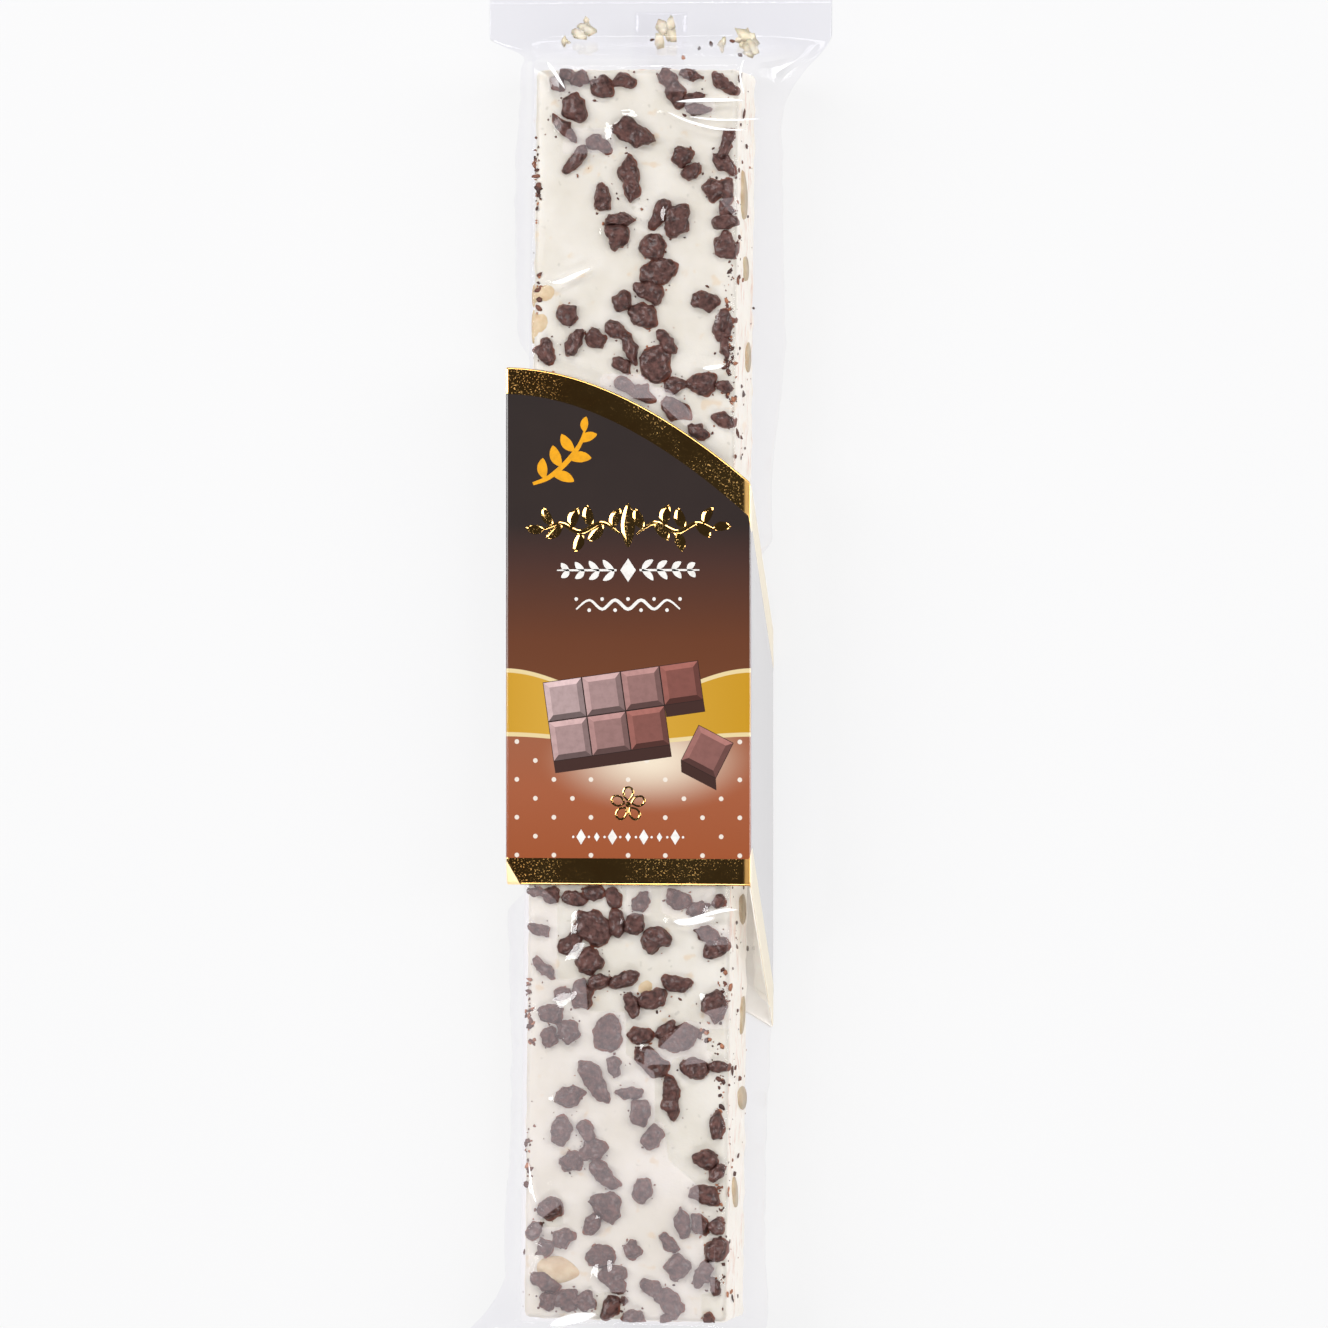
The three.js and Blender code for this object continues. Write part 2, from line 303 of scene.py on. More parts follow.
chocolate = {
    "seed": 41,
    "rise": 1.3,  # how far a piece stands out of the bar
    "riseUnderSleeve": 0.95,
    "depth": 1.5,  # how deep it is pressed in
    "fine": 0.7,  # longer edges of its mesh are split
    "grow": 1.14,  # makes up for what rounding takes off
    "corners": (6, 3),  # an outline has one of three counts of corners, from six up
    "reach": (0.9, 0.2),  # of a corner, as a share of the half size, and how much it varies
    "inset": (0.62, 0.3),  # of the top's outline, likewise
    "rounding": 0.32,
    "outline": (0.16, 1.2),  # how much the outline is pushed about, and how finely
    "dents": [(0.36, 0.6), (0.26, 1.3), (0.1, 3.2)],  # depth in millimetres, fineness
    "farthest": [16.3, 16.1, 101.2, 101.4],  # left, right, low and high, for the middle of a piece
    "drawnIn": [(-14.5, 0.7), (6, 0.9)],  # beyond these x the pieces are moved inwards by these factors
    # the pieces as read in the photo, in its pixels: column, row, length, width, turn in degrees
    "pieces": [
        (641, 393, 30, 18, -30), (674, 410, 33, 22, -30), (699, 431, 28, 15, -25), (741, 420, 22, 18, -10),
        (556, 84, 18, 12, -40), (565, 74, 16, 12, 0), (579, 78, 20, 17, 20), (600, 87, 27, 24, -50),
        (621, 80, 24, 15, 0), (572, 107, 33, 24, -55), (562, 127, 35, 12, -48), (596, 143, 31, 17, -30),
        (573, 159, 32, 13, 50), (631, 132, 40, 26, -25), (629, 177, 47, 21, -80), (600, 198, 29, 18, -85),
        (617, 220, 33, 14, 5), (614, 236, 30, 22, -80), (659, 213, 37, 17, 65), (677, 221, 36, 25, 60),
        (681, 157, 24, 20, -20), (693, 172, 22, 14, 30), (728, 163, 31, 17, -40), (717, 189, 25, 24, 0),
        (737, 190, 30, 15, -80), (749, 212, 22, 14, -60), (736, 222, 25, 15, 10), (737, 248, 28, 25, -60),
        (748, 143, 32, 14, 75), (727, 84, 30, 16, -40), (745, 88, 13, 10, 0), (665, 78, 25, 18, -60),
        (674, 94, 28, 22, -60), (692, 76, 25, 11, -10), (697, 96, 20, 8, 10), (698, 110, 28, 12, 0),
        (652, 247, 27, 25, 0), (657, 272, 39, 26, 10), (647, 292, 31, 22, -15), (620, 300, 21, 20, 0),
        (565, 314, 24, 22, 0), (640, 317, 31, 27, 15), (612, 330, 26, 20, -20), (572, 342, 28, 15, 60),
        (592, 338, 22, 19, 0), (543, 352, 27, 20, -70), (628, 348, 31, 14, -65), (620, 365, 25, 14, -40),
        (652, 364, 42, 31, 70), (664, 342, 29, 14, -50), (672, 385, 23, 19, 0), (704, 383, 30, 24, 35),
        (707.5, 302, 34, 18, 0), (728, 325, 35, 19, 80), (741, 325, 18, 9, 80), (748, 348, 24, 11, -80),
        (746, 387, 16, 12, 0), (624, 386, 30, 14, -25), (530, 893, 14, 11, 0), (547, 895, 22, 15, -20),
        (572, 899, 29, 15, -5), (590, 893, 26, 16, 0), (611, 897, 27, 18, -70), (639, 903, 24, 18, 55),
        (677, 900, 27, 22, -20), (698, 909, 26, 13, 20), (729, 901, 14, 13, 0), (592, 929, 44, 34, -40),
        (613, 922, 33, 17, -80), (632, 925, 25, 19, 60), (652, 939, 30, 26, 20), (567, 944, 28, 18, 35),
        (588, 962, 28, 26, 0), (537, 930, 26, 14, -25), (541, 969, 31, 15, -42), (709, 934, 29, 17, -20),
        (721, 947, 28, 20, 35), (597, 982, 27, 17, 20), (623, 979, 30, 16, 20), (630, 1005, 27, 16, -70),
        (652, 999, 29, 19, 10), (677, 984, 33, 19, -5), (559, 995, 19, 16, 30), (579, 995, 32, 23, 85),
        (549, 1014, 25, 22, 0), (567, 1031, 27, 22, 90), (547, 1038, 25, 18, 90), (606, 1034, 39, 31, 70),
        (638, 1036, 27, 19, 0), (664, 1030, 26, 15, 30), (679, 1037, 46, 24, 20), (719, 1007, 35, 24, 75),
        (650, 1062, 45, 22, -40), (612, 1067, 24, 15, -80), (591, 1082, 46, 20, -58),
        (568, 1098, 29, 22, 10), (696, 1069, 31, 24, -30), (726, 1066, 24, 13, 10),
        (627.5, 1094, 26, 14, 0), (638, 1112, 28, 21, 80), (670, 1097, 45, 20, -85),
        (650, 1137, 26, 20, 45), (559, 1132, 35, 22, 80), (585, 1132, 22, 15, -60),
        (591, 1151, 32, 22, 15), (570, 1163, 26, 21, -10), (602, 1177, 40, 19, -45),
        (709, 1159, 25, 21, -15), (725, 1172, 21, 13, 50), (729, 1125, 27, 15, 90),
        (641, 1190, 25, 20, 60), (707.5, 1194, 34, 22, -5), (547, 1209, 28, 23, 45),
        (532, 1231, 22, 15, 60), (604, 1207, 33, 27, -40), (590, 1225, 24, 18, 60),
        (561, 1238, 26, 18, 35), (542.5, 1249.5, 22, 17, 10), (630, 1251, 21, 17, -50),
        (598, 1257.5, 28, 23, 0), (609, 1276, 28, 22, -10), (615, 1287, 22, 18, -20),
        (667.5, 1242, 29, 15, -42), (682.5, 1222, 32, 14, -80), (702.5, 1224.5, 22, 21, -20),
        (723, 1227, 19, 18, 0), (719, 1249, 26, 24, 60), (678, 1267, 27, 24, 30),
        (706, 1274.5, 28, 17, 60), (649, 1287.5, 27, 15, -30), (670, 1303, 34, 24, -45),
        (543, 1283, 33, 18, -25), (545, 1302.5, 22, 18, 10), (565, 1301, 30, 25, 20),
        (583, 1303, 23, 20, -30), (607, 1309, 27, 19, 60), (622, 1300, 9, 7, 0), (729, 1286, 18, 10, -80),
        (632, 1317, 25, 14, 10), (665, 1318, 14, 9, 0), (711, 1317, 12, 8, 0),
    ],
}


def chocolatePlaces():
    places = []
    left, right, low, high = chocolate["farthest"]
    (leftFrom, leftBy), (rightFrom, rightBy) = chocolate["drawnIn"]
    for column, row, length, width, turn in chocolate["pieces"]:
        x, y = onBar(column, row)
        x = max(-left, min(right, x))
        if x > rightFrom:
            x = rightFrom + (x - rightFrom) * rightBy
        if x < leftFrom:
            x = leftFrom + (x - leftFrom) * leftBy
        places.append({
            "x": x,
            "y": max(-low, min(high, y)),
            "size": length / photo["scale"],
            "slim": width / length,
            "turn": math.radians(turn),
        })
    return places


piecePlaces = chocolatePlaces()
print("chocolate pieces:", len(piecePlaces))


# Nougat bar

nougat = {
    "cutsAlong": 168,
    "cutsAcross": 29,
    "cutsDeep": 14,
    "edgeRound": 1.15,
    "topWaver": 0.16,
    "cutWaver": 0.34,
    "pits": 0.35,
}


def makeNougatMaterial():
    material, tree = newMaterial("nougatMaterial")
    where = objectCoordinates(tree)
    mottle, height = grain(tree, where, 120.0, 1400.0, 0.35)
    body = rampNode(tree, mottle, [(0.3, (0.565, 0.53, 0.46)), (0.65, (0.63, 0.60, 0.545))])
    warm = mapRange(tree, noiseNode(tree, where, 310.0, 2.0, 0.6), 0.62, 0.74, 0.0, 0.45)
    body = mixColour(tree, warm, body, (0.58, 0.42, 0.25, 1))
    # painted shade: small pits painted darker grey, for the shade inside hollows that the mesh doesn't have
    pits = mapRange(tree, noiseNode(tree, where, 820.0, 1.0, 0.5), 0.70, 0.78, 0.0, 0.4)
    body = mixColour(tree, pits, body, (0.36, 0.34, 0.29, 1))
    cutMask = addNode(tree, "ShaderNodeAttribute", attribute_name="cutSide").outputs["Fac"]
    stretch = addNode(tree, "ShaderNodeMapping")
    setInputs(stretch, {"Scale": (1.0, 0.35, 1.6)})
    tree.links.new(where, stretch.inputs["Vector"])
    smears = noiseNode(tree, stretch.outputs[0], 420.0, 5.0, 0.7)
    smearMask = mathNode(tree, "MULTIPLY", mapRange(tree, smears, 0.52, 0.66), cutMask)
    stained = mixColour(tree, mathNode(tree, "MULTIPLY", smearMask, 0.75), body, (0.42, 0.17, 0.09, 1))
    shader = principled(tree, {
        "Roughness": 0.42,
        "Subsurface Weight": 0.15,
        "Subsurface Radius": (1.0, 0.8, 0.5),
        "Subsurface Scale": 0.0015,
        "IOR": 1.45,
        "Emission Color": (1.0, 0.95, 0.88, 1),
    })
    # painted light: a faint glow over the whole bar, stronger on the cut sides, lifts their shade
    tree.links.new(mathNode(tree, "MULTIPLY_ADD", cutMask, 0.3, 0.035), shader.inputs["Emission Strength"])
    tree.links.new(stained, shader.inputs["Base Color"])
    tree.links.new(bumpNode(tree, height, 0.35, 0.0004), shader.inputs["Normal"])
    return material


def subdivideAlong(bm, axis, cuts):
    edges = []
    for edge in bm.edges:
        span = edge.verts[1].co - edge.verts[0].co
        if abs(span[axis]) > 0.9 * span.length:
            edges.append(edge)
    bmesh.ops.subdivide_edges(bm, edges=edges, cuts=cuts, use_grid_fill=True)


def makeNougat():
    bm = bmesh.new()
    bmesh.ops.create_cube(bm, size=1)
    subdivideAlong(bm, 1, nougat["cutsAlong"])
    subdivideAlong(bm, 0, nougat["cutsAcross"])
    subdivideAlong(bm, 2, nougat["cutsDeep"])
    height = bar["top"] - bar["bottom"]
    middle = Vector((0, 0, (bar["top"] + bar["bottom"]) / 2))
    size = Vector((2 * bar["halfWidth"], 2 * bar["halfLength"], height))
    inner = size / 2 - Vector((1, 1, 1)) * nougat["edgeRound"]
    cutLayer = bm.verts.layers.float.new("cutSide")
    for vert in bm.verts:
        point = Vector(a * b for a, b in zip(vert.co, size))
        core = Vector(min(b, max(-b, a)) for a, b in zip(point, inner))
        outward = (point - core).normalized()
        point = core + outward * nougat["edgeRound"]
        place = point + middle
        low = noise.noise(place * 0.07)
        mid = noise.noise(place * 0.35 + Vector((7, 3, 1)))
        pit = max(0, noise.noise(place * 0.8 + Vector((3, 9, 4))) - 0.32)
        onCut = 1 - smooth(outward.z, 0.35, 0.8)
        push = nougat["topWaver"] * (low + 0.5 * mid)
        push = mix(push, nougat["cutWaver"] * (mid - 0.4) - nougat["pits"] * pit, onCut)
        vert.co = place + outward * (push - 0.05)
        vert[cutLayer] = onCut * (1 if outward.z > -0.5 else 0.3)
    closeShell(bm)
    finishPiece("nougat_bar", bm, [makeNougatMaterial()], leaning=True)


makeNougat()
print("nougat bar done")


# Chocolate pieces

def makeChocolateMaterial():
    material, tree = newMaterial("chocolateMaterial")
    where = objectCoordinates(tree)
    mottle, height = grain(tree, where, 1000.0, 3000.0, 0.45)
    tone = rampNode(tree, mottle, [(0.34, (0.036, 0.0125, 0.0095)), (0.66, (0.140, 0.060, 0.049))])
    split = addNode(tree, "ShaderNodeSeparateXYZ")
    tree.links.new(where, split.inputs[0])
    rim = mapRange(tree, split.outputs[2], (bar["top"] + 0.12) * mm, (bar["top"] + 0.5) * mm, 0.75, 0.0)
    stained = mixColour(tree, rim, tone, (0.24, 0.075, 0.045, 1))
    shader = principled(tree, {"Roughness": 0.42, "Specular IOR Level": 0.35, "Coat Weight": 0.35,
                               "Coat Roughness": 0.2, "IOR": 1.45})
    tree.links.new(stained, shader.inputs["Base Color"])
    tree.links.new(bumpNode(tree, height, 0.9, 0.0005), shader.inputs["Normal"])
    return material


def hullChunk(draw, half):  # a chopped lump: a cut polygon with an uneven top, rounded and dented
    bm = bmesh.new()
    fewest, more = chocolate["corners"]
    count = fewest + int(more * draw())
    start = draw()
    for k in range(count):
        angle = 2 * math.pi * (k + 0.6 * (draw() - 0.5) + start) / count
        reach = chocolate["reach"][0] + chocolate["reach"][1] * draw()
        inset = chocolate["inset"][0] + chocolate["inset"][1] * draw()
        across, along = half[0] * reach * math.cos(angle), half[1] * reach * math.sin(angle)
        bm.verts.new((across, along, -half[2]))
        bm.verts.new((across * mix(1, inset, 0.35), along * mix(1, inset, 0.35), half[2] * 0.2))
        bm.verts.new((across * inset, along * inset, half[2] * (0.62 + 0.36 * draw())))
    result = bmesh.ops.convex_hull(bm, input=bm.verts, use_existing_faces=False)
    loose = [item for item in result["geom_interior"] if isinstance(item, bmesh.types.BMVert)]
    bmesh.ops.delete(bm, geom=loose, context="VERTS")
    bmesh.ops.dissolve_limit(bm, angle_limit=math.radians(8), verts=bm.verts, edges=bm.edges)
    bmesh.ops.bevel(bm, geom=bm.edges[:], offset=chocolate["rounding"], segments=2, profile=0.6,
                    affect="EDGES", material=-1, clamp_overlap=True)
    for _ in range(4):
        bmesh.ops.triangulate(bm, faces=bm.faces)
        lengthy = [edge for edge in bm.edges if edge.calc_length() > chocolate["fine"]]
        bmesh.ops.subdivide_edges(bm, edges=lengthy, cuts=1)
    bmesh.ops.triangulate(bm, faces=bm.faces)
    for _ in range(2):
        bmesh.ops.smooth_vert(
            bm, verts=bm.verts, factor=0.45, use_axis_x=True, use_axis_y=True, use_axis_z=True)
    bm.normal_update()
    away = Vector((50 * draw(), 50 * draw(), 50 * draw()))
    push, fineness = chocolate["outline"]
    for vert in bm.verts:
        side = Vector((vert.co.x, vert.co.y, 0)).normalized()
        vert.co.xy *= 1.04 + push * noise.noise(side * fineness + away)
        dent = sum(depth * noise.noise(vert.co * finer + away) for depth, finer in chocolate["dents"])
        vert.co += vert.normal * dent
    return bm


def cutFlush(bm, point, normal):  # cuts off what stands out beyond the knife's plane and caps the cut
    geom = bm.verts[:] + bm.edges[:] + bm.faces[:]
    cut = bmesh.ops.bisect_plane(bm, geom=geom, dist=1e-4, plane_co=point, plane_no=normal, clear_outer=True)
    edges = [item for item in cut["geom_cut"] if isinstance(item, bmesh.types.BMEdge)]
    if edges:
        bmesh.ops.holes_fill(bm, edges=edges, sides=0)


def trimToBar(bm):
    for axis, limit in ((0, bar["halfWidth"] + 0.08), (1, bar["halfLength"] + 0.08)):
        for side in (-1, 1):
            reach = max(side * vert.co[axis] for vert in bm.verts)
            if reach > limit:
                normal = Vector((0, 0, 0))
                normal[axis] = side
                cutFlush(bm, normal * limit, normal)


def addTo(target, bm):
    mesh = bpy.data.meshes.new("part")
    bm.to_mesh(mesh)
    bm.free()
    target.from_mesh(mesh)
    bpy.data.meshes.remove(mesh)


topSpots = []  # all that stands out of the bar's top
peaks = []  # the highest spot of each piece, which the film rests on


def inSleeve(x, y, spare):
    return sleeve["bottom"] - spare < y < sleeveTopEdge(x, sleeve["height"]) + spare


def makeChocolate():
    draw = makeDraw(chocolate["seed"] + 2)
    bm = bmesh.new()
    for place in piecePlaces:
        size = place["size"] * chocolate["grow"]
        held = inSleeve(place["x"], place["y"], size / 2 + 1)
        rise = chocolate["riseUnderSleeve"] if held else chocolate["rise"] * (0.8 + 0.4 * draw())
        half = (size / 2, size * place["slim"] / 2, (rise + chocolate["depth"]) / 2)
        chunk = hullChunk(draw, half)
        turn = Matrix.Rotation(place["turn"], 3, "Z") @ Matrix.Rotation(0.3 * (draw() - 0.5), 3, "X")
        bmesh.ops.rotate(chunk, cent=(0, 0, 0), matrix=turn, verts=chunk.verts)
        middle = (place["x"], place["y"], bar["top"] + (rise - chocolate["depth"]) / 2)
        bmesh.ops.translate(chunk, vec=middle, verts=chunk.verts)
        trimToBar(chunk)
        highest = max(chunk.verts, key=lambda vert: vert.co.z)
        peaks.append(highest.co.copy())
        topSpots.extend(vert.co.copy() for vert in chunk.verts if vert.co.z > bar["top"])
        addTo(bm, chunk)
    finishPiece("chocolate_pieces", bm, [makeChocolateMaterial()], leaning=True)


makeChocolate()
print("chocolate done")


# Almonds

almonds = {
    "seed": 7,
    "length": 8.4,
    "width": 5.0,
    "thick": 3.4,
    # on the top: x, y, turn in degrees, how far it stands out
    "onTop": [(-10.8, -93.9, -8, 1.0), (-14.2, 65.6, 20, 0.2), (3.5, -47.2, 30, 0.15), (-15.4, 61, 70, 0.15)],
    "perSide": 11,
    "perEnd": 3,
    "reachAlong": 94,  # how far along the cut sides they lie
    "reachAcross": 12,  # how far across the cut ends
}


def makeAlmondMaterial():
    material, tree = newMaterial("almondMaterial")
    where = objectCoordinates(tree)
    mottle, height = grain(tree, where, 500.0, 2500.0, 0.4)
    tone = rampNode(tree, mottle, [(0.3, (0.50, 0.36, 0.21)), (0.7, (0.64, 0.52, 0.35))])
    shader = principled(tree, {"Roughness": 0.45, "Subsurface Weight": 0.1, "Subsurface Scale": 0.001})
    tree.links.new(tone, shader.inputs["Base Color"])
    tree.links.new(bumpNode(tree, height, 0.4, 0.0003), shader.inputs["Normal"])
    return material


def almondShape():
    bm = bmesh.new()
    bmesh.ops.create_uvsphere(bm, u_segments=20, v_segments=14, radius=1)
    for vert in bm.verts:
        point = vert.co.copy()
        taper = 1 - 0.42 * smooth(point.z, -0.2, 1)
        vert.co = Vector((point.z * almonds["length"] / 2, point.x * almonds["width"] / 2 * taper,
                          point.y * almonds["thick"] / 2 * taper))
    return bm


def makeAlmonds():
    draw = makeDraw(almonds["seed"])
    bm = bmesh.new()
    spots = []
    for x, y, turn, out in almonds["onTop"]:
        matrix = Matrix.Rotation(math.radians(turn), 3, "Z")
        spots.append((Vector((x, y, bar["top"] + out - almonds["thick"] / 2)), matrix))
    for side in (-1, 1):
        for i in range(almonds["perSide"]):
            y = almonds["reachAlong"] * mix(-1, 1, (i + 0.2 + 0.6 * draw()) / almonds["perSide"])
            z = mix(bar["bottom"] + 3, bar["top"] - 3.5, draw())
            matrix = Matrix.Rotation(math.pi * draw(), 3, "X") @ Matrix.Rotation(math.pi * draw(), 3, "Y")
            matrix = matrix @ Matrix.Rotation(math.pi * draw(), 3, "Z")
            spots.append((Vector((side * (bar["halfWidth"] - 0.5 * draw()), y, z)), matrix))
        for i in range(almonds["perEnd"]):
            x = almonds["reachAcross"] * mix(-1, 1, (i + 0.3 + 0.4 * draw()) / almonds["perEnd"])
            z = mix(bar["bottom"] + 3, bar["top"] - 4, draw())
            matrix = Matrix.Rotation(math.pi * draw(), 3, "Y") @ Matrix.Rotation(math.pi * draw(), 3, "Z")
            spots.append((Vector((x, side * (bar["halfLength"] - 0.6), z)), matrix))
    for middle, matrix in spots:
        nut = almondShape()
        bmesh.ops.rotate(nut, cent=(0, 0, 0), matrix=matrix, verts=nut.verts)
        bmesh.ops.translate(nut, vec=middle, verts=nut.verts)
        trimToBar(nut)
        topSpots.extend(vert.co.copy() for vert in nut.verts if vert.co.z > bar["top"] + 0.5)
        addTo(bm, nut)
    finishPiece("almonds", bm, [makeAlmondMaterial()], leaning=True)


makeAlmonds()
print("almonds done")


# Crumbs of chocolate on the cut sides, and loose crumbs in the ends of the bag

crumbs = {
    "seed": 19,
    "perSide": {1: 170, -1: 70},
    "onTopEdges": 90,
    "perPiece": 3,
    "perPaleSpot": 6,
    "paleSquash": 0.07,  # the pale bits are flat
    # clusters: from, to, count, spread to the sides
    "clusters": [((15.2, 67), (16.3, 47.5), 90, 1.1), ((-17, 93), (-15.9, 76), 26, 0.7),
                 ((15.6, 73), (16, 68), 16, 0.8),
                 ((-16.3, 69), (-15.6, 62), 14, 0.6), ((11.5, -54.5), (15.8, -57.5), 22, 0.9),
                 ((15.8, -62), (15.4, -68), 16, 0.7), ((-16.6, -47), (-15.8, -58), 22, 0.6),
                 ((-16.4, -70), (-16, -82), 20, 0.6), ((15.4, -78), (16.4, -96), 30, 0.8),
                 ((-15, -98.5), (-6, -101), 14, 0.7), ((15.5, -44), (16.3, -51), 22, 0.8)],
    # loose bits in the upper end of the bag: x, y, height, size
    "looseBrown": [(10.5, 106.5, 8.4, 0.9), (14, 107, 8, 0.8), (8.6, 105.8, 9, 0.7), (0.5, 107.3, 7.6, 0.6),
                   (15.6, 104.6, 9.8, 1.0), (6.2, 104.2, 10, 0.8)],
    "loosePale": [(-11.4, 109.4, 6.5, 3.6), (2.6, 108.6, 6.7, 3.8), (15.8, 107.6, 7.1, 3.8),
                  (16.8, 105.4, 8.2, 3), (12.2, 106.4, 8, 2), (-13.8, 106.8, 8, 1.5)],
}


def addCrumb(bm, draw, place, size, squash=(1, 1, 1), layer=None):
    verts = bmesh.ops.create_icosphere(bm, subdivisions=1, radius=size / 2)["verts"]
    turn = Matrix.Rotation(2 * math.pi * draw(), 3, "Z")
    long = Vector((0.7 + 0.9 * draw(), 0.8, 0.8))
    tone = draw()
    for vert in verts:
        shaped = turn @ Vector(a * b * (0.6 + 0.7 * draw()) for a, b in zip(vert.co, long))
        vert.co = Vector(a * b for a, b in zip(shaped, squash)) + place
        if layer:
            vert[layer] = tone


def makeCrumbs():
    material, tree = newMaterial("crumbMaterial")
    where = objectCoordinates(tree)
    height = grain(tree, where, 900.0, 3000.0, 0.4)[1]
    toned = addNode(tree, "ShaderNodeAttribute", attribute_name="tone").outputs["Fac"]
    tone = rampNode(tree, toned, [
        (0.0, (0.045, 0.016, 0.012)), (0.55, (0.13, 0.042, 0.026)), (1.0, (0.42, 0.17, 0.085))])
    shader = principled(tree, {"Roughness": 0.55})
    tree.links.new(tone, shader.inputs["Base Color"])
    tree.links.new(bumpNode(tree, height, 0.4, 0.0002), shader.inputs["Normal"])
    draw = makeDraw(crumbs["seed"])
    bm = bmesh.new()
    layer = bm.verts.layers.float.new("tone")
    edge = bar["halfWidth"]
    for side in (-1, 1):
        for _ in range(crumbs["perSide"][side]):
            y = mix(-bar["halfLength"] + 1, bar["halfLength"] - 1, draw())
            cluster = 0.5 + 0.5 * noise.noise(Vector((y * 0.09, side * 5, 0)))
            z = mix(bar["top"] - 0.4, bar["bottom"] + 1, draw() ** (1.2 + 1.6 * cluster))
            size = 0.25 + 1.3 * draw() ** 3 * (0.4 + cluster)
            addCrumb(bm, draw, Vector((side * (edge - 0.05), y, z)), size, (0.5, 1, 1), layer)
        for _ in range(crumbs["onTopEdges"] // 2):
            y = mix(-bar["halfLength"] + 1, bar["halfLength"] - 1, draw())
            x = side * (edge - 0.6 - 3.2 * draw() ** 2)
            addCrumb(bm, draw, Vector((x, y, bar["top"])), 0.25 + 0.6 * draw() ** 2, (1, 1, 0.6), layer)
    for start, end, count, spread in crumbs["clusters"]:
        for _ in range(count):
            t = draw()
            x = mix(start[0], end[0], t) + spread * (draw() + draw() - 1)
            y = mix(start[1], end[1], t) + spread * (draw() + draw() - 1)
            out = max(0, abs(x) - edge + 0.5)
            place = Vector((min(edge, max(-edge, x)), y, bar["top"] - 0.05 - 1.4 * out))
            addCrumb(bm, draw, place, 0.3 + 1.0 * draw() ** 2.5, (1, 1, 0.5), layer)
    for place in piecePlaces:
        for _ in range(crumbs["perPiece"]):
            angle = 2 * math.pi * draw()
            reach = place["size"] * (0.42 + 0.16 * draw())
            x, y = place["x"] + reach * math.cos(angle), place["y"] + reach * math.sin(angle)
            if abs(x) < edge - 0.3 and abs(y) < bar["halfLength"] - 0.3:
                addCrumb(bm, draw, Vector((x, y, bar["top"])), 0.2 + 0.45 * draw() ** 2, (1, 1, 0.6), layer)
    for x, y, z, size in crumbs["looseBrown"]:
        addCrumb(bm, draw, Vector((x, y, z)), size, (1, 1, 0.6), layer)
    finishPiece("chocolate_crumbs", bm, [material], leaning=True)


def makeLooseNougat():
    material, tree = newMaterial("looseNougatMaterial")
    where = objectCoordinates(tree)
    mottle, height = grain(tree, where, 400.0, 2200.0, 0.4)
    tone = rampNode(tree, mottle, [(0.3, (0.70, 0.59, 0.41)), (0.7, (0.76, 0.69, 0.55))])
    shader = principled(tree, {"Roughness": 0.5, "Subsurface Weight": 0.1, "Subsurface Scale": 0.001})
    tree.links.new(tone, shader.inputs["Base Color"])
    tree.links.new(bumpNode(tree, height, 0.4, 0.0003), shader.inputs["Normal"])
    draw = makeDraw(crumbs["seed"] + 1)
    bm = bmesh.new()
    for x, y, z, size in crumbs["loosePale"]:
        for _ in range(crumbs["perPaleSpot"]):
            near = Vector((x + size * 0.6 * (draw() - 0.5), y + size * 0.8 * (draw() - 0.5), z))
            addCrumb(bm, draw, near, size * (0.4 + 0.4 * draw()), (1, 1, crumbs["paleSquash"]))
    finishPiece("loose_nougat_crumbs", bm, [material], leaning=True)


makeCrumbs()
makeLooseNougat()
print("crumbs done")


# Clear film bag

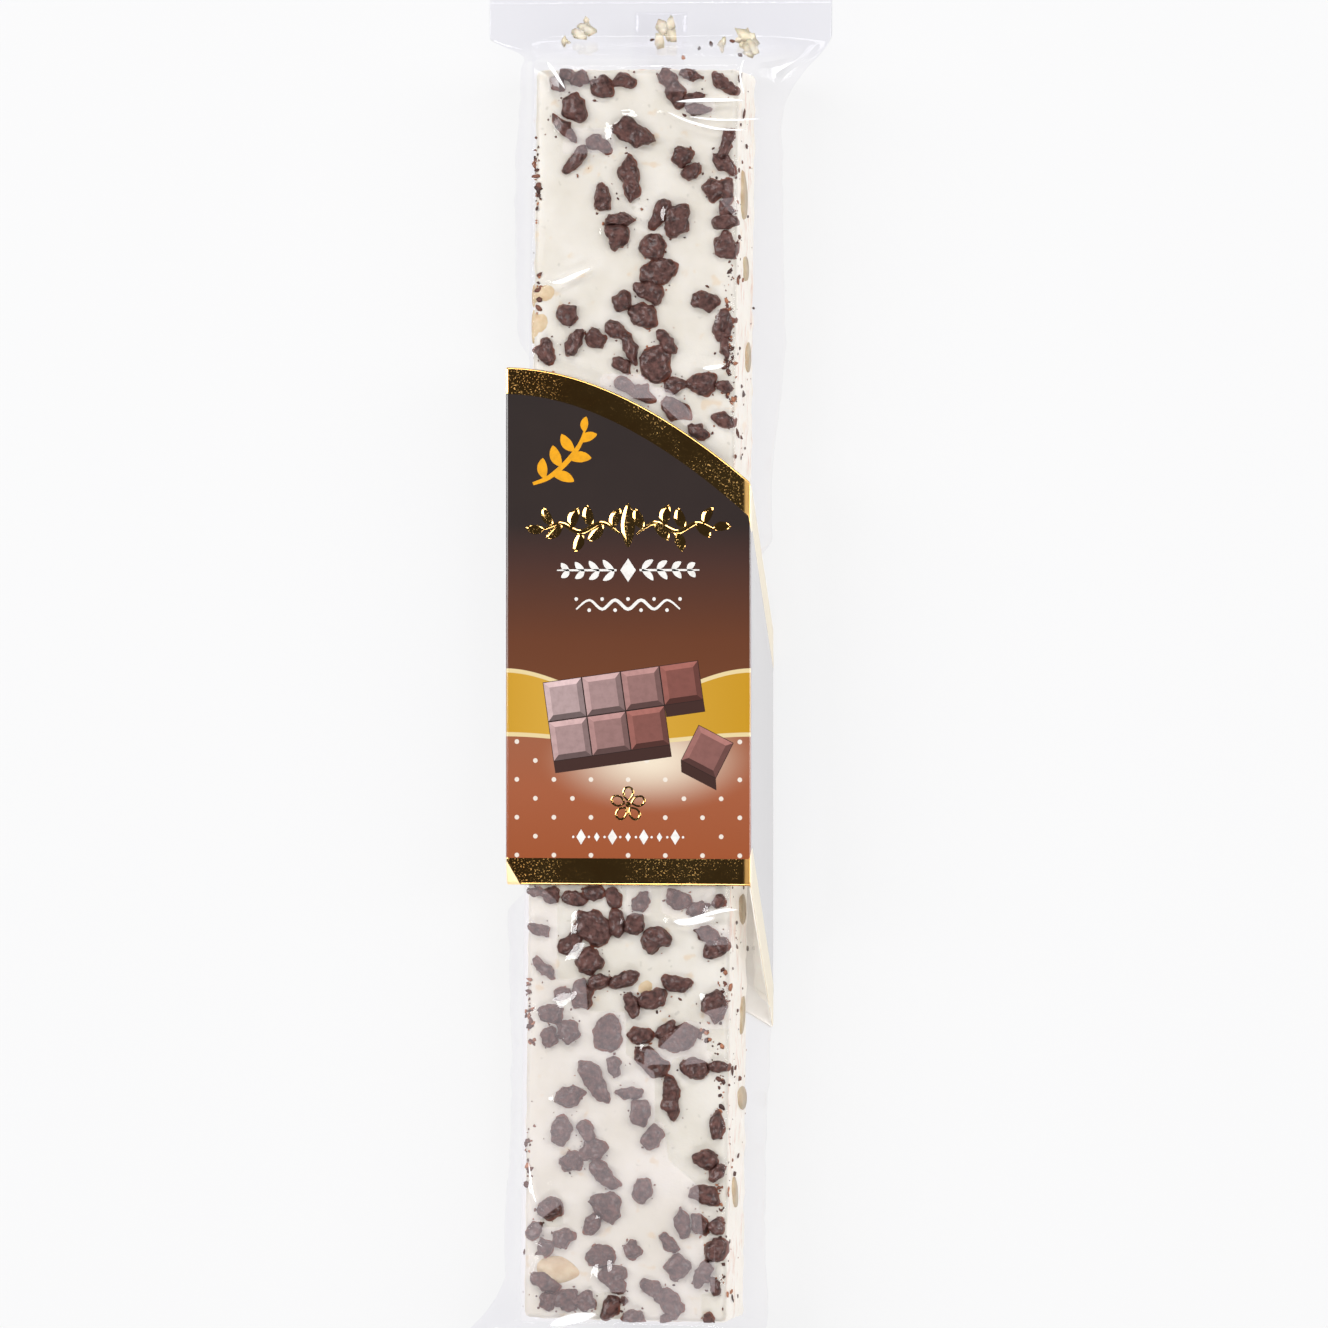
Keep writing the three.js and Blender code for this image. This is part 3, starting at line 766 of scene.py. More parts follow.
film = {
    "step": 0.6,  # along the bag, between two of its sections
    "gap": 0.06,  # between the film and what it rests on
    "grid": 0.5,
    "spotPitch": 7,
    "sheetEdge": 17.4,
    "underSleeve": 19.25,  # the highest that the film may lie there
    "slack": 0.4,
    # the fold of film along each side
    "ridgeHeight": 8,
    "ridge": 21.6,
    "ridgeUpperRight": 1.1,
    "ridgeUnderSleeve": 19.2,
    "ridgeGap": {1: 2, -1: 0.8},
    "ridgeRelease": 4,
    # the flattened ends, which stand out to the sides
    "flareEarly": 95,
    "flareLate": 104,
    "finRoot": 108,
    "finEnd": 117.9,
    "finHeight": 6.5,
    "finHalf": 28.6,
    "finShift": 1.6,
    "crimpStart": 112.75,
    "crimpPitch": 1.5,
    "crimpRelief": 0.16,
    "zigzag": 0.3,
    "sideFolds": 0.4,
    "seamThick": 0.1,
    "legs": [17, 16, 3, 9, 5, 3, 3, 5, 8, 3, 12, 1, 5],  # steps on each leg of the half section
    "milky": 0.85,  # in the flattened ends
    "sideMilky": 0.4,  # beside the bar on the left
    "cling": (0.25, 0.7),  # gloss on the bar, and on what stands out of it
    "clingEdge": (12.5, 15, 0.1),  # between these x the gloss falls to this share
    "looseGloss": (0.08, 0.8),  # the least and the most gloss beside the bar
    "brinkGloss": (0.1, 0.9),  # the same at the brinks of the bar's ends
    "endGloss": 0.2,
    "paintedVeilStrength": (0.105, 0.145),
    # fine scuffs: x, y, half width, half length
    "scuffs": [(-4, -47.6, 1.2, 1.6), (2.4, -69.5, 0.9, 3.4), (-16.4, -81, 1.0, 2.6), (-10.4, -57, 1.3, 1.3),
               (7.2, -53.4, 1.2, 1.0), (10.8, 88, 1.0, 1.8), (-12.4, 92.4, 1.2, 1.6), (0.6, 99, 1.8, 0.9),
               (12.6, -74, 0.8, 1.6), (14.2, 58, 1.0, 3.0)],
    # veils, painted reflections: a pale diffuse layer on the film where it would mirror a pale wall in flat
    # facets: weight, corners in the photo's pixels
    "veils": [
        (1.1, [(640, 386), (668, 390), (694, 416), (686, 428)]),
        (1, [(515, 908), (556, 908), (556, 986), (515, 986)]),
        (1, [(515, 984), (585, 978), (587, 1014), (515, 1014)]),
        (1, [(515, 1012), (625, 1012), (625, 1058), (515, 1058)]),
        (1, [(655, 1051), (687, 1019), (706, 1024), (706, 1055), (660, 1058)]),
        (1, [(644, 1048), (672, 1055), (672, 1064), (644, 1064)]),
        (0.9, [(680, 1065), (700, 1048), (712, 1052), (708, 1061)]),
        (1, [(515, 1056), (628, 1056), (654, 1072), (654, 1124), (515, 1124)]),
        (1, [(515, 1122), (662, 1122), (668, 1162), (515, 1162)]),
        (1, [(515, 1160), (668, 1160), (698, 1186), (698, 1212), (515, 1212)]),
        (1, [(515, 1210), (714, 1210), (714, 1292), (515, 1292)]),
        (1, [(515, 1290), (594, 1290), (596, 1328), (515, 1328)]),
        (1, [(625, 1290), (700, 1290), (700, 1328), (622, 1328)]),
        (0.9, [(690, 925), (740, 925), (740, 943), (706, 945)]),
        (1, [(704, 1011), (735, 1003), (735, 1028), (704, 1028)]),
        (0.7, [(625, 886), (650, 886), (650, 915), (625, 915)]),
        (0.75, [(660, 884), (714, 884), (714, 922), (690, 925), (660, 912)]),
        (0.8, [(515, 884), (536, 884), (556, 902), (556, 908), (515, 908)]),
        (1, [(566, 128), (612, 128), (614, 153), (560, 153)]),
        (1, [(684, 103), (714, 103), (714, 115), (684, 115)]),
        (1.2, [(600, 374), (640, 374), (664, 398), (596, 398)]),
        (0.55, [(655, 66), (684, 66), (692, 92), (655, 92)]),
        (0.5, [(545, 64), (600, 64), (600, 80), (556, 98)]),
        (0.8, [(718, 200), (756, 196), (756, 232), (730, 214)]),
        (0.8, [(735, 376), (756, 372), (756, 398), (738, 398)]),
    ],
    # gaps in the veils
    "clears": [
        [(536, 1223), (562, 1203), (562, 1228), (540, 1228)],
        [(700, 1209), (716, 1209), (712, 1262), (704, 1262)],
    ],
    # folds of film: each raises the film a little and gets a painted glint, a whitish strip laid over it;
    # width in millimetres, points in the photo's pixels
    "folds": [
        (0.55, [(545, 60), (554, 72), (566, 90)]),
        (0.6, [(674, 102.5), (705, 101), (745, 101.5)]),
        (0.4, [(664, 111), (688, 122), (718, 130), (748, 131)]),
        (0.3, [(686, 117), (720, 121), (762, 120)]),
        (0.3, [(742, 58), (739, 78), (743, 97)]),
        (0.7, [(549, 282), (560, 281), (574, 275), (592, 267)]),
        (0.7, [(701, 369), (712, 368), (725, 366)]),
        (1.1, [(672, 921), (688, 921.5), (716, 917)]),
        (0.6, [(686, 919), (706, 914), (722, 910), (738, 909)]),
        (1.6, [(547, 1327), (570, 1320), (597, 1314)]),
        (0.3, [(527, 1160), (531, 1190), (536, 1205)]),
        (0.25, [(531, 1176), (528, 1188), (531, 1196)]),
    ],
    "foldRise": 0.3,
}


def insideOf(corners, gridX, gridY):  # how far inside a convex outline each place of the grid lies
    turn = 0
    for (ax, ay), (bx, by) in zip(corners, corners[1:] + corners[:1]):
        turn += ax * by - bx * ay
    way = 1 if turn > 0 else -1
    inside = np.full(gridX.shape, 99.0)
    for (ax, ay), (bx, by) in zip(corners, corners[1:] + corners[:1]):
        span = math.hypot(bx - ax, by - ay)
        across = ((bx - ax) * (gridY - ay) - (by - ay) * (gridX - ax)) / span * way
        inside = np.minimum(inside, across)
    return inside


def veilSheets(gridX, gridY):  # how far inside the veils, and how strong the nearest one is
    best = np.full(gridX.shape, -99.0)
    weights = np.zeros(gridX.shape)
    for weight, corners in film["veils"]:
        inside = insideOf([onBar(*corner) for corner in corners], gridX, gridY)
        weights = np.where(inside > best, weight, weights)
        best = np.maximum(best, inside)
    for corners in film["clears"]:
        best = np.minimum(best, -insideOf([onBar(*corner) for corner in corners], gridX, gridY))
    return np.clip(best, -1, 1), weights


def filmRests():  # what the film rests on: the pieces, the bar's long edges and spots between them
    draw = makeDraw(chocolate["seed"] + 5)
    end = bar["halfLength"] + 1
    spots = [(peak.x, peak.y, peak.z + film["gap"]) for peak in peaks]
    pitch = film["spotPitch"]
    rows = round(2 * end / pitch)
    for j in range(rows + 1):
        y = -end + 2 * end * j / rows
        for side in (-1, 1):
            spots.append((side * film["sheetEdge"], y, bar["top"] + 0.65 + 0.2 * draw()))
        for i in range(-2, 3):
            x = i * pitch * 0.9 + 3 * (draw() - 0.5)
            at = y + 3 * (draw() - 0.5)
            lift = 0.8 + 0.35 * draw()
            if all((x - peak.x) ** 2 + (at - peak.y) ** 2 > 14 for peak in peaks):
                spots.append((x, at, bar["top"] + lift))
    return spots


def facetSheet(gridX, gridY):  # flat facets from rest to rest
    spots = filmRests()
    found = delaunay_2d_cdt([Vector(spot[:2]) for spot in spots], [], [], 0, 1e-3)
    sheet = np.full(gridX.shape, bar["top"] + 0.4)
    heights = [spots[origin[0]][2] for origin in found[3]]
    for face in found[2]:
        (ax, ay), (bx, by), (cx, cy) = [found[0][k] for k in face]
        area = (bx - ax) * (cy - ay) - (cx - ax) * (by - ay)
        u = ((bx - gridX) * (cy - gridY) - (cx - gridX) * (by - gridY)) / area
        v = ((cx - gridX) * (ay - gridY) - (ax - gridX) * (cy - gridY)) / area
        inside = (u > -1e-6) & (v > -1e-6) & (u + v < 1 + 1e-6)
        flat = u * heights[face[0]] + v * heights[face[1]] + (1 - u - v) * heights[face[2]]
        sheet = np.where(inside, flat, sheet)
    return sheet


def foldSheet(gridX, gridY):  # 1 along the middle of a fold, falling to 0 beside it
    creased = np.zeros(gridX.shape)
    for width, pixels in film["folds"]:
        points = [onBar(*pixel) for pixel in pixels]
        for (ax, ay), (bx, by) in zip(points, points[1:]):
            dx, dy = bx - ax, by - ay
            along = np.clip(((gridX - ax) * dx + (gridY - ay) * dy) / (dx * dx + dy * dy), 0, 1)
            far = np.hypot(gridX - ax - along * dx, gridY - ay - along * dy)
            creased = np.maximum(creased, np.exp(-(far / (0.5 + 0.5 * width)) ** 2))
    return creased


def groundSheet(xs, ys):  # the lowest that the film can lie, over all that stands out of the bar
    ground = np.full((len(ys), len(xs)), bar["top"] + 0.2)
    reach = range(-1, 2)
    for spot in topSpots:
        i = round((spot.x - xs[0]) / film["grid"])
        j = round((spot.y - ys[0]) / film["grid"])
        for dj in reach:
            for di in reach:
                if 0 <= i + di < len(xs) and 0 <= j + dj < len(ys):
                    ground[j + dj, i + di] = max(ground[j + dj, i + di], spot.z + film["gap"])
    return ground


def soften(sheet):  # each inner place becomes half itself and half the mean of its four neighbours
    around = sheet[:-2, 1:-1] + sheet[2:, 1:-1] + sheet[1:-1, :-2] + sheet[1:-1, 2:]
    sheet[1:-1, 1:-1] = sheet[1:-1, 1:-1] * 0.5 + 0.125 * around


def tautSheet():  # the height of the film over the bar's top, on a grid, and what its looks need
    edge, end = film["sheetEdge"] + 0.5, bar["halfLength"] + 1
    xs = np.arange(-edge, edge + 0.01, film["grid"])
    ys = np.arange(-end, end + 0.01, film["grid"])
    gridX, gridY = np.meshgrid(xs, ys)
    ground = groundSheet(xs, ys)
    sheet = facetSheet(gridX, gridY) + film["foldRise"] * foldSheet(gridX, gridY)
    sheet = np.maximum(sheet, ground)
    over = np.clip((ground - bar["top"] - 0.3) / 0.3, 0, 1)  # 1 above what stands out of the bar
    for _ in range(2):
        soften(over)
        soften(sheet)
    return xs, ys, np.maximum(sheet, ground), over, *veilSheets(gridX, gridY)


heightX, heightY, heightSheet, overSheet, veilSheet, weightSheet = tautSheet()
print("taut film worked out")


def sheetAt(sheet, x, y):
    i = min(len(heightX) - 2, max(0, (x - heightX[0]) / film["grid"]))
    j = min(len(heightY) - 2, max(0, (y - heightY[0]) / film["grid"]))
    i0, j0 = int(i), int(j)
    u, v = min(1, i - i0), min(1, j - j0)
    low = mix(sheet[j0, i0], sheet[j0, i0 + 1], u)
    high = mix(sheet[j0 + 1, i0], sheet[j0 + 1, i0 + 1], u)
    return mix(low, high, v)


def ridgeAt(y, side):  # half width of the fold of film along one side
    drop = sleeveDrop(side * sleeve["halfWidth"], film["ridgeHeight"])
    top = sleeve["topRight"] if side > 0 else sleeve["topLeft"]
    gap = film["ridgeGap"][side]
    outside = max(y - (top - drop + gap), sleeve["bottom"] - drop - gap - y)
    free = smooth(outside, 0, film["ridgeRelease"])
    swell = 0.4 * math.sin(y * 0.11 + side)
    if side > 0:
        swell += film["ridgeUpperRight"] * smooth(y, sleeve["topRight"], sleeve["topLeft"])
    return mix(film["ridgeUnderSleeve"], film["ridge"] + swell * free, free)


def halfSection(y, side):  # the bag's half section: x, z, share of the flattened half width
    edge = bar["halfWidth"]
    ridge = ridgeAt(y, side)
    top = bar["top"] + 0.9
    return [
        (0, top, 0), (edge * 0.5, top, 0.28), (edge - 0.3, top, 0.57), (edge + 0.3, top - 0.6, 0.62),
        (mix(edge, ridge, 0.55), 12.8, 0.8), (ridge - 0.4, 9.6, 0.94), (ridge, 8, 1.0),
        (ridge - 0.5, 6.4, 0.94), (mix(edge, ridge, 0.45), 4, 0.8), (edge + 0.2, 2.4, 0.66),
        (edge - 1.4, 1.32, 0.52), (4.8, 1.32, 0.16), (4.5, 1.3, 0.14), (0, 1.3, 0),
    ]


def catmull(a, b, c, d, t):
    bend = (2 * a - 5 * b + 4 * c - d) * t * t + (3 * b - a - 3 * c + d) * t ** 3
    return 0.5 * (2 * b + (c - a) * t + bend)


def curveAt(points, t):
    place = min(len(points) - 1.0001, t * (len(points) - 1))
    k = int(place)
    a, b, c = points[max(0, k - 1)], points[k], points[k + 1]
    d = points[min(len(points) - 1, k + 2)]
    return Vector(tuple(catmull(a[n], b[n], c[n], d[n], place - k) for n in range(2)))


def fineSection(y, side):
    rough = halfSection(y, side)
    fine = []
    for leg, count in enumerate(film["legs"]):
        a = rough[max(0, leg - 1)]
        b, c = rough[leg], rough[leg + 1]
        d = rough[min(len(rough) - 1, leg + 2)]
        curved = 3 <= leg <= 8
        for k in range(count):
            t = k / count
            if curved:
                fine.append(tuple(catmull(a[n], b[n], c[n], d[n], t) for n in range(3)) + (leg + t,))
            else:
                fine.append(tuple(mix(b[n], c[n], t) for n in range(3)) + (leg + t,))
    fine.append(rough[-1] + (len(film["legs"]),))
    return fine


def underSleeve(x, y):
    top = sleeveTopEdge(x, sleeve["height"])
    return smooth(y, sleeve["bottom"] - 2.5, sleeve["bottom"] - 0.5) * (1 - smooth(y, top + 0.5, top + 2.5))


def filmPoint(y, side, entry):
    x, z, flat, leg = entry
    reach = abs(y)
    way = 1 if y > 0 else -1
    falling = ramp(reach, bar["halfLength"] + film["slack"], film["finRoot"])
    flareStart = film["flareEarly"] if side * way > 0 else film["flareLate"]
    flaring = smooth(reach, flareStart, film["finRoot"])
    loose = smooth(leg, 3, 4) * (1 - smooth(leg, 8, 9))
    onTop = 1 - smooth(leg, 2.1, 3)
    if onTop > 0 and reach < bar["halfLength"] + 2:
        z = mix(z, sheetAt(heightSheet, side * x, y), onTop)
        z = min(z, mix(bagHigh.z + 0.6, film["underSleeve"], underSleeve(side * x, y)))
    held = max(smooth(y, -38, -30) * (1 - smooth(y, 50, 58)), smooth(reach, 100, 104))
    folds = noise.noise(Vector((y * 0.2, leg * 0.2, side * 9)))
    folds += 0.45 * noise.noise(Vector((y * 0.5, leg * 0.3, side * 5)))
    x += film["sideFolds"] * folds * loose * mix(1, 0.15, held)
    crimp = film["crimpRelief"] * math.sin((reach - film["crimpStart"]) * 2 * math.pi / film["crimpPitch"])
    crimp *= smooth(reach, film["crimpStart"], film["crimpStart"] + 0.4)
    unsealed = 1 - smooth(reach, film["finRoot"] + 2, film["crimpStart"])
    face = 1 if leg < 6 else -1
    across = mix(x, flat * film["finHalf"], mix(falling, flaring, loose))
    wave = 0.35 * noise.noise(Vector((side * across * 0.06, y * 0.08, way * 3))) * unsealed
    thin = mix(0.08, 0.4, unsealed) * (1 - flat ** 4) * face
    flatZ = film["finHeight"] + crimp + thin + wave
    creases = 0.3 * noise.noise(Vector((side * across * 0.16, y * 0.1, face * 4 + way)))
    creases *= math.sin(math.pi * falling)
    lift = mix(z, flatZ, falling * falling * (3 - 2 * falling)) + creases
    return Vector((side * across + way * film["finShift"] * falling, y, lift))


def makeFilmMaterial(name, shine, painted):
    material, tree = newMaterial(name)
    where = objectCoordinates(tree)
    height = noiseNode(tree, where, 120.0, 2.0, 0.5)
    clear = addNode(tree, "ShaderNodeBsdfTransparent")
    clear.inputs["Color"].default_value = (0.993, 0.992, 0.997, 1)
    strength = 0.043 * shine
    if painted:
        scuffed = addNode(tree, "ShaderNodeAttribute", attribute_name="scuff").outputs["Fac"]
        fine = noiseNode(tree, where, 3200.0, 3.0, 0.6)
        height = mathNode(tree, "MULTIPLY_ADD", mathNode(tree, "MULTIPLY", fine, scuffed), 0.9, height)
        milky = addNode(tree, "ShaderNodeAttribute", attribute_name="milky").outputs["Fac"]
        tint = mixColour(tree, milky, (0.980, 0.977, 0.984, 1), (0.948, 0.945, 0.968, 1))
        tree.links.new(tint, clear.inputs["Color"])
        gloss = addNode(tree, "ShaderNodeAttribute", attribute_name="gloss").outputs["Fac"]
        strength = mathNode(tree, "MULTIPLY", gloss, strength)
    normal = bumpNode(tree, height, 0.08, 0.0008)
    mirror = addNode(tree, "ShaderNodeBsdfGlossy")
    setInputs(mirror, {"Color": (1, 1, 1, 1), "Roughness": 0.05})
    tree.links.new(normal, mirror.inputs["Normal"])
    facing = addNode(tree, "ShaderNodeLayerWeight")
    tree.links.new(normal, facing.inputs["Normal"])
    rim = mathNode(tree, "POWER", facing.outputs["Facing"], 5.0)  # the same from inside and outside
    both = mathNode(tree, "MULTIPLY_ADD", rim, 0.9, strength, clamp=True)
    blend = addNode(tree, "ShaderNodeMixShader")
    tree.links.new(both, blend.inputs[0])
    tree.links.new(clear.outputs[0], blend.inputs[1])
    tree.links.new(mirror.outputs[0], blend.inputs[2])
    output = addNode(tree, "ShaderNodeOutputMaterial")
    if not painted:
        tree.links.new(blend.outputs[0], output.inputs["Surface"])
        return material
    # painted reflection: a pale diffuse layer inside the veils stands in for the film mirroring a pale wall
    pale = addNode(tree, "ShaderNodeBsdfDiffuse")
    pale.inputs["Color"].default_value = (0.92, 0.83, 0.87, 1)
    veil = addNode(tree, "ShaderNodeAttribute", attribute_name="veil").outputs["Fac"]
    weight = addNode(tree, "ShaderNodeAttribute", attribute_name="weight").outputs["Fac"]
    uneven = mapRange(tree, noiseNode(tree, where, 60.0, 2.0, 0.5), 0.35, 0.65, *film["paintedVeilStrength"])
    inVeil = mapRange(tree, veil, -0.09, 0.03)
    amount = mathNode(tree, "MULTIPLY", mathNode(tree, "MULTIPLY", inVeil, weight), uneven)
    veiled = addNode(tree, "ShaderNodeMixShader")
    tree.links.new(amount, veiled.inputs[0])
    tree.links.new(blend.outputs[0], veiled.inputs[1])
    tree.links.new(pale.outputs[0], veiled.inputs[2])
    tree.links.new(veiled.outputs[0], output.inputs["Surface"])
    return material


def makeFoldGlintMaterial():  # painted glints on sharp folds of film: whitish strips that glow a little, with soft ends
    material, tree = newMaterial("paintedFoldGlints")
    clear = addNode(tree, "ShaderNodeBsdfTransparent")
    pale = addNode(tree, "ShaderNodeBsdfPrincipled")
    setInputs(pale, {"Base Color": (0.96, 0.96, 0.97, 1), "Roughness": 0.25,
                     # painted highlight: a white, faintly glowing surface stands in for the light a fold
                     # catches
                     "Emission Color": (1, 1, 1, 1), "Emission Strength": 0.2})
    shown = addNode(tree, "ShaderNodeAttribute", attribute_name="shown").outputs["Fac"]
    blend = addNode(tree, "ShaderNodeMixShader")
    tree.links.new(mapRange(tree, shown, 0.08, 0.55, 0.0, 0.92), blend.inputs[0])
    tree.links.new(clear.outputs[0], blend.inputs[1])
    tree.links.new(pale.outputs[0], blend.inputs[2])
    output = addNode(tree, "ShaderNodeOutputMaterial")
    tree.links.new(blend.outputs[0], output.inputs["Surface"])
    return material


def filmLooks(point, leg):  # gloss, milkiness, scuffing and veil of the film at a point
    reach = abs(point.y)
    inEnd = smooth(reach, 102, 107)
    loose = smooth(leg, 2.0, 2.3) * (1 - smooth(leg, 9.5, 10.5))
    patch = smooth(noise.noise(Vector((point.y * 0.09, leg * 0.3, math.copysign(3, point.x)))), 0.3, 0.5)
    edgeFrom, edgeTo, edgeShare = film["clingEdge"]
    cling = mix(*film["cling"], sheetAt(overSheet, point.x, point.y))
    cling *= mix(1, edgeShare, smooth(abs(point.x), edgeFrom, edgeTo))
    gloss = mix(cling, mix(*film["looseGloss"], patch), loose)
    glint = smooth(noise.noise(Vector((point.x * 0.16, 4, math.copysign(7, point.y)))), 0.2, 0.45)
    gloss = mix(gloss, mix(*film["brinkGloss"], glint), smooth(reach, 100.4, 101.6))
    gloss = mix(gloss, film["endGloss"], inEnd)
    scuff = 0
    if leg < 3:
        for x, y, halfWidth, halfLength in film["scuffs"]:
            far = ((point.x - x) / halfWidth) ** 2 + ((point.y - y) / halfLength) ** 2
            scuff = max(scuff, 1 - smooth(far, 0.2, 1.4))
    milky = max(film["milky"] * inEnd, film["sideMilky"] * loose * (1 if point.x < 0 else 0))
    veil = sheetAt(veilSheet, point.x, point.y) if leg < 3 and reach < 102.5 else -1
    return gloss, milky, scuff, veil, sheetAt(weightSheet, point.x, point.y)


def makeFilm():
    count = sum(film["legs"])
    stations = []
    y = -film["finEnd"]
    while y < film["finEnd"] - 0.01:
        stations.append(y)
        inFin = abs(y) > film["crimpStart"] - 1
        y += film["crimpPitch"] / 4 if inFin else film["step"]
    stations.append(film["finEnd"])
    sections = [{1: fineSection(y, 1), -1: fineSection(y, -1)} for y in stations]

    def entryAt(i, j):
        index = i % (2 * count)
        side = 1 if index <= count else -1
        step = index if side > 0 else 2 * count - index
        return side, sections[j][side][step]

    def place(i, j):
        side, entry = entryAt(i, j)
        point = filmPoint(stations[j], side, entry)
        if j in (0, len(stations) - 1):
            point.y += film["zigzag"] * (1 if stations[j] < 0 else -1) * (i % 2)
        return point

    bm = bmesh.new()
    layers = [bm.verts.layers.float.new(name) for name in ("gloss", "milky", "scuff", "veil", "weight")]

    def paint(vert, i, j):
        for layer, value in zip(layers, filmLooks(vert.co, entryAt(i, j)[1][3])):
            vert[layer] = value

    gridSheet(bm, 2 * count, len(stations) - 1, place, paint)
    bmesh.ops.remove_doubles(bm, verts=bm.verts, dist=1e-4)
    rims = [edge for edge in bm.edges if edge.is_boundary]
    bmesh.ops.holes_fill(bm, edges=rims, sides=0)
    bmesh.ops.recalc_face_normals(bm, faces=bm.faces)
    piece = finishPiece("film_bag", bm, [filmMaterial], leaning=True)
    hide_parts("film_wrapped_bar")


# painted glints: whitish strips laid just over the film along its folds
def makeFoldGlints():
    bm = bmesh.new()
    layer = bm.verts.layers.float.new("shown")
    steps = 30
    for width, pixels in film["folds"]:
        points = [onBar(*pixel) for pixel in pixels]

        def place(i, j):
            t = j / steps
            centre = curveAt(points, t)
            ahead = (curveAt(points, min(1, t + 0.01)) - curveAt(points, max(0, t - 0.01))).normalized()
            off = (i / 6 - 0.5) * width * (0.35 + math.sin(math.pi * t))
            x, y = centre.x + ahead.y * off, centre.y - ahead.x * off
            lift = filmPoint(y, 1 if x > 0 else -1, (abs(x), bar["top"] + 0.9, 0, 1)).z
            return Vector((x, y, lift + 0.07))

        def paint(vert, i, j):
            vert[layer] = min(1, 4 * j / steps, 4 * (1 - j / steps)) * (1 - abs(i / 3 - 1))

        gridSheet(bm, 6, steps, place, paint)
    for face in bm.faces:
        if face.normal.z < 0:
            face.normal_flip()
    finishPiece("film_fold_glints", bm, [makeFoldGlintMaterial()], leaning=True)


def makeBackSeam():
    seam = {"half": 4.4, "top": 1.24, "low": 0.95, "reach": 112}

    def place(i, j):
        x = mix(-seam["half"], seam["half"], i / 10)
        y = mix(-seam["reach"], seam["reach"], j / 320)
        falling = ramp(abs(y), bar["halfLength"] + film["slack"], film["finRoot"])
        rib = 0.05 * math.sin(y * 2 * math.pi / 1.4)
        lie = seam["low"] + 0.08 + rib + 0.08 * noise.noise(Vector((x * 0.2, y * 0.1, 0)))
        way = 1 if y > 0 else -1
        return Vector((x + way * film["finShift"] * falling, y, mix(lie, film["finHeight"] - 0.75, falling)))

    bm = bmesh.new()
    gridSheet(bm, 10, 320, place)
    bmesh.ops.recalc_face_normals(bm, faces=bm.faces)
    piece = finishPiece("film_back_seam", bm, [seamMaterial], leaning=True)
    thick = piece.modifiers.new("thickness", "SOLIDIFY")
    thick.thickness = film["seamThick"] * mm
    thick.offset = 1


filmMaterial = makeFilmMaterial("clearFilm", 1.8, True)
seamMaterial = makeFilmMaterial("sealedFilm", 0.4, False)
makeFilm()
makeFoldGlints()
makeBackSeam()
print("film done")


# Printed card sleeve

sleevePrint = {
    "face": 0.06,  # how far the face of the card lies inside the solid
    "board": 0.4,
    "band": 4.35,
    "rowsLow": [(0, -0.24), (0.14, -0.1), (0.32, -0.02), (0.5, 0), (0.55, 0)],  # from the edge in, height
    "rowsHigh": [(0, -0.2), (0.1, -0.08), (0.22, -0.015), (0.34, 0), (0.39, 0)],
    "lip": 0.22,
    "near": 0.05,  # keeps the shading of a flat field flat up to its raised or rounded edge
    "emboss": 0.05,
    "wedge": 2.6,  # the lower left corner is pressed down, rubbed matt and paler, and given a faint glow of painted light
    "wedgeSlope": 0.3,
    "rows": 60,
    "lapX": -6,
    "lapStep": 0.28,
    "waveTop": 4.0,
    "waveDip": 4.9,
    "waveBottom": -6.4,
    "waveSag": 1.3,
    "lineHalf": 0.34,
    "dotPitch": 3.08,
    "dotRadius": 0.38,
    "dotSoft": 0.05,
    "dotTop": -7.6,
    "dotGaps": [(-17.8, 4, 3.4), (-23.1, 11.2, 1.6)],  # bare places: height, half width, half height
    "glow": (3.6, -10.6, 19.0, 9.0),  # the pale glow: x, y, half width, half height
    "fade": (53.4, 2.0),  # between these heights the dark brown turns lighter
    "lowFade": (-6.0, -27.0),
    "edgeSoft": 0.04,
    "uvSize": 100.0,  # millimetres of card to one unit of its map
    # x on the foil: where the frosting of the left end fades out, where that of the right edge sets in,
    # and where the foil ends and the cream of the sides begins
    "foilLeft": (-17.0, -6.0),
    "foilRight": (18.8, 19.6),
    "foilAside": (20.1, 20.3),
}


def sleevePerimeter():  # x, z, outward x, outward z and the way round from the middle of the front
    half = sleeve["halfWidth"] - sleevePrint["face"]
    top = sleeve["height"] - sleevePrint["face"]
    low = sleevePrint["face"] / 2
    radius = sleeve["corner"]
    right = []
    near = sleevePrint["near"]
    for k in range(17):
        right.append((mix(0, half - radius - 3.2, k / 16), top, 0, 1))
    for k in range(8):
        right.append((mix(half - radius - 2.8, half - radius - near, k / 7), top, 0, 1))
    for k in range(6):
        a = math.pi / 2 * k / 6
        right.append((half - radius + radius * math.sin(a), top - radius + radius * math.cos(a),
                      math.sin(a), math.cos(a)))
    right.append((half, top - radius, 1, 0))
    for k in range(14):
        right.append((half, mix(top - radius - near, low + radius + near, k / 13), 1, 0))
    for k in range(6):
        a = math.pi / 2 * k / 6
        right.append((half - radius + radius * math.cos(a), low + radius - radius * math.sin(a),
                      math.cos(a), -math.sin(a)))
    right.append((half - radius, low, 0, -1))
    for k in range(20):
        right.append((mix(half - radius - near, 0, k / 19), low, 0, -1))
    left = [(-x, z, -nx, nz) for x, z, nx, nz in right[::-1]]
    ring = left[:-1] + right
    way = [0]
    for before, after in zip(ring, ring[1:]):
        way.append(way[-1] + math.hypot(after[0] - before[0], after[1] - before[1]))
    middle = way[-1] / 2
    return [(*point, s - middle) for point, s in zip(ring, way)]


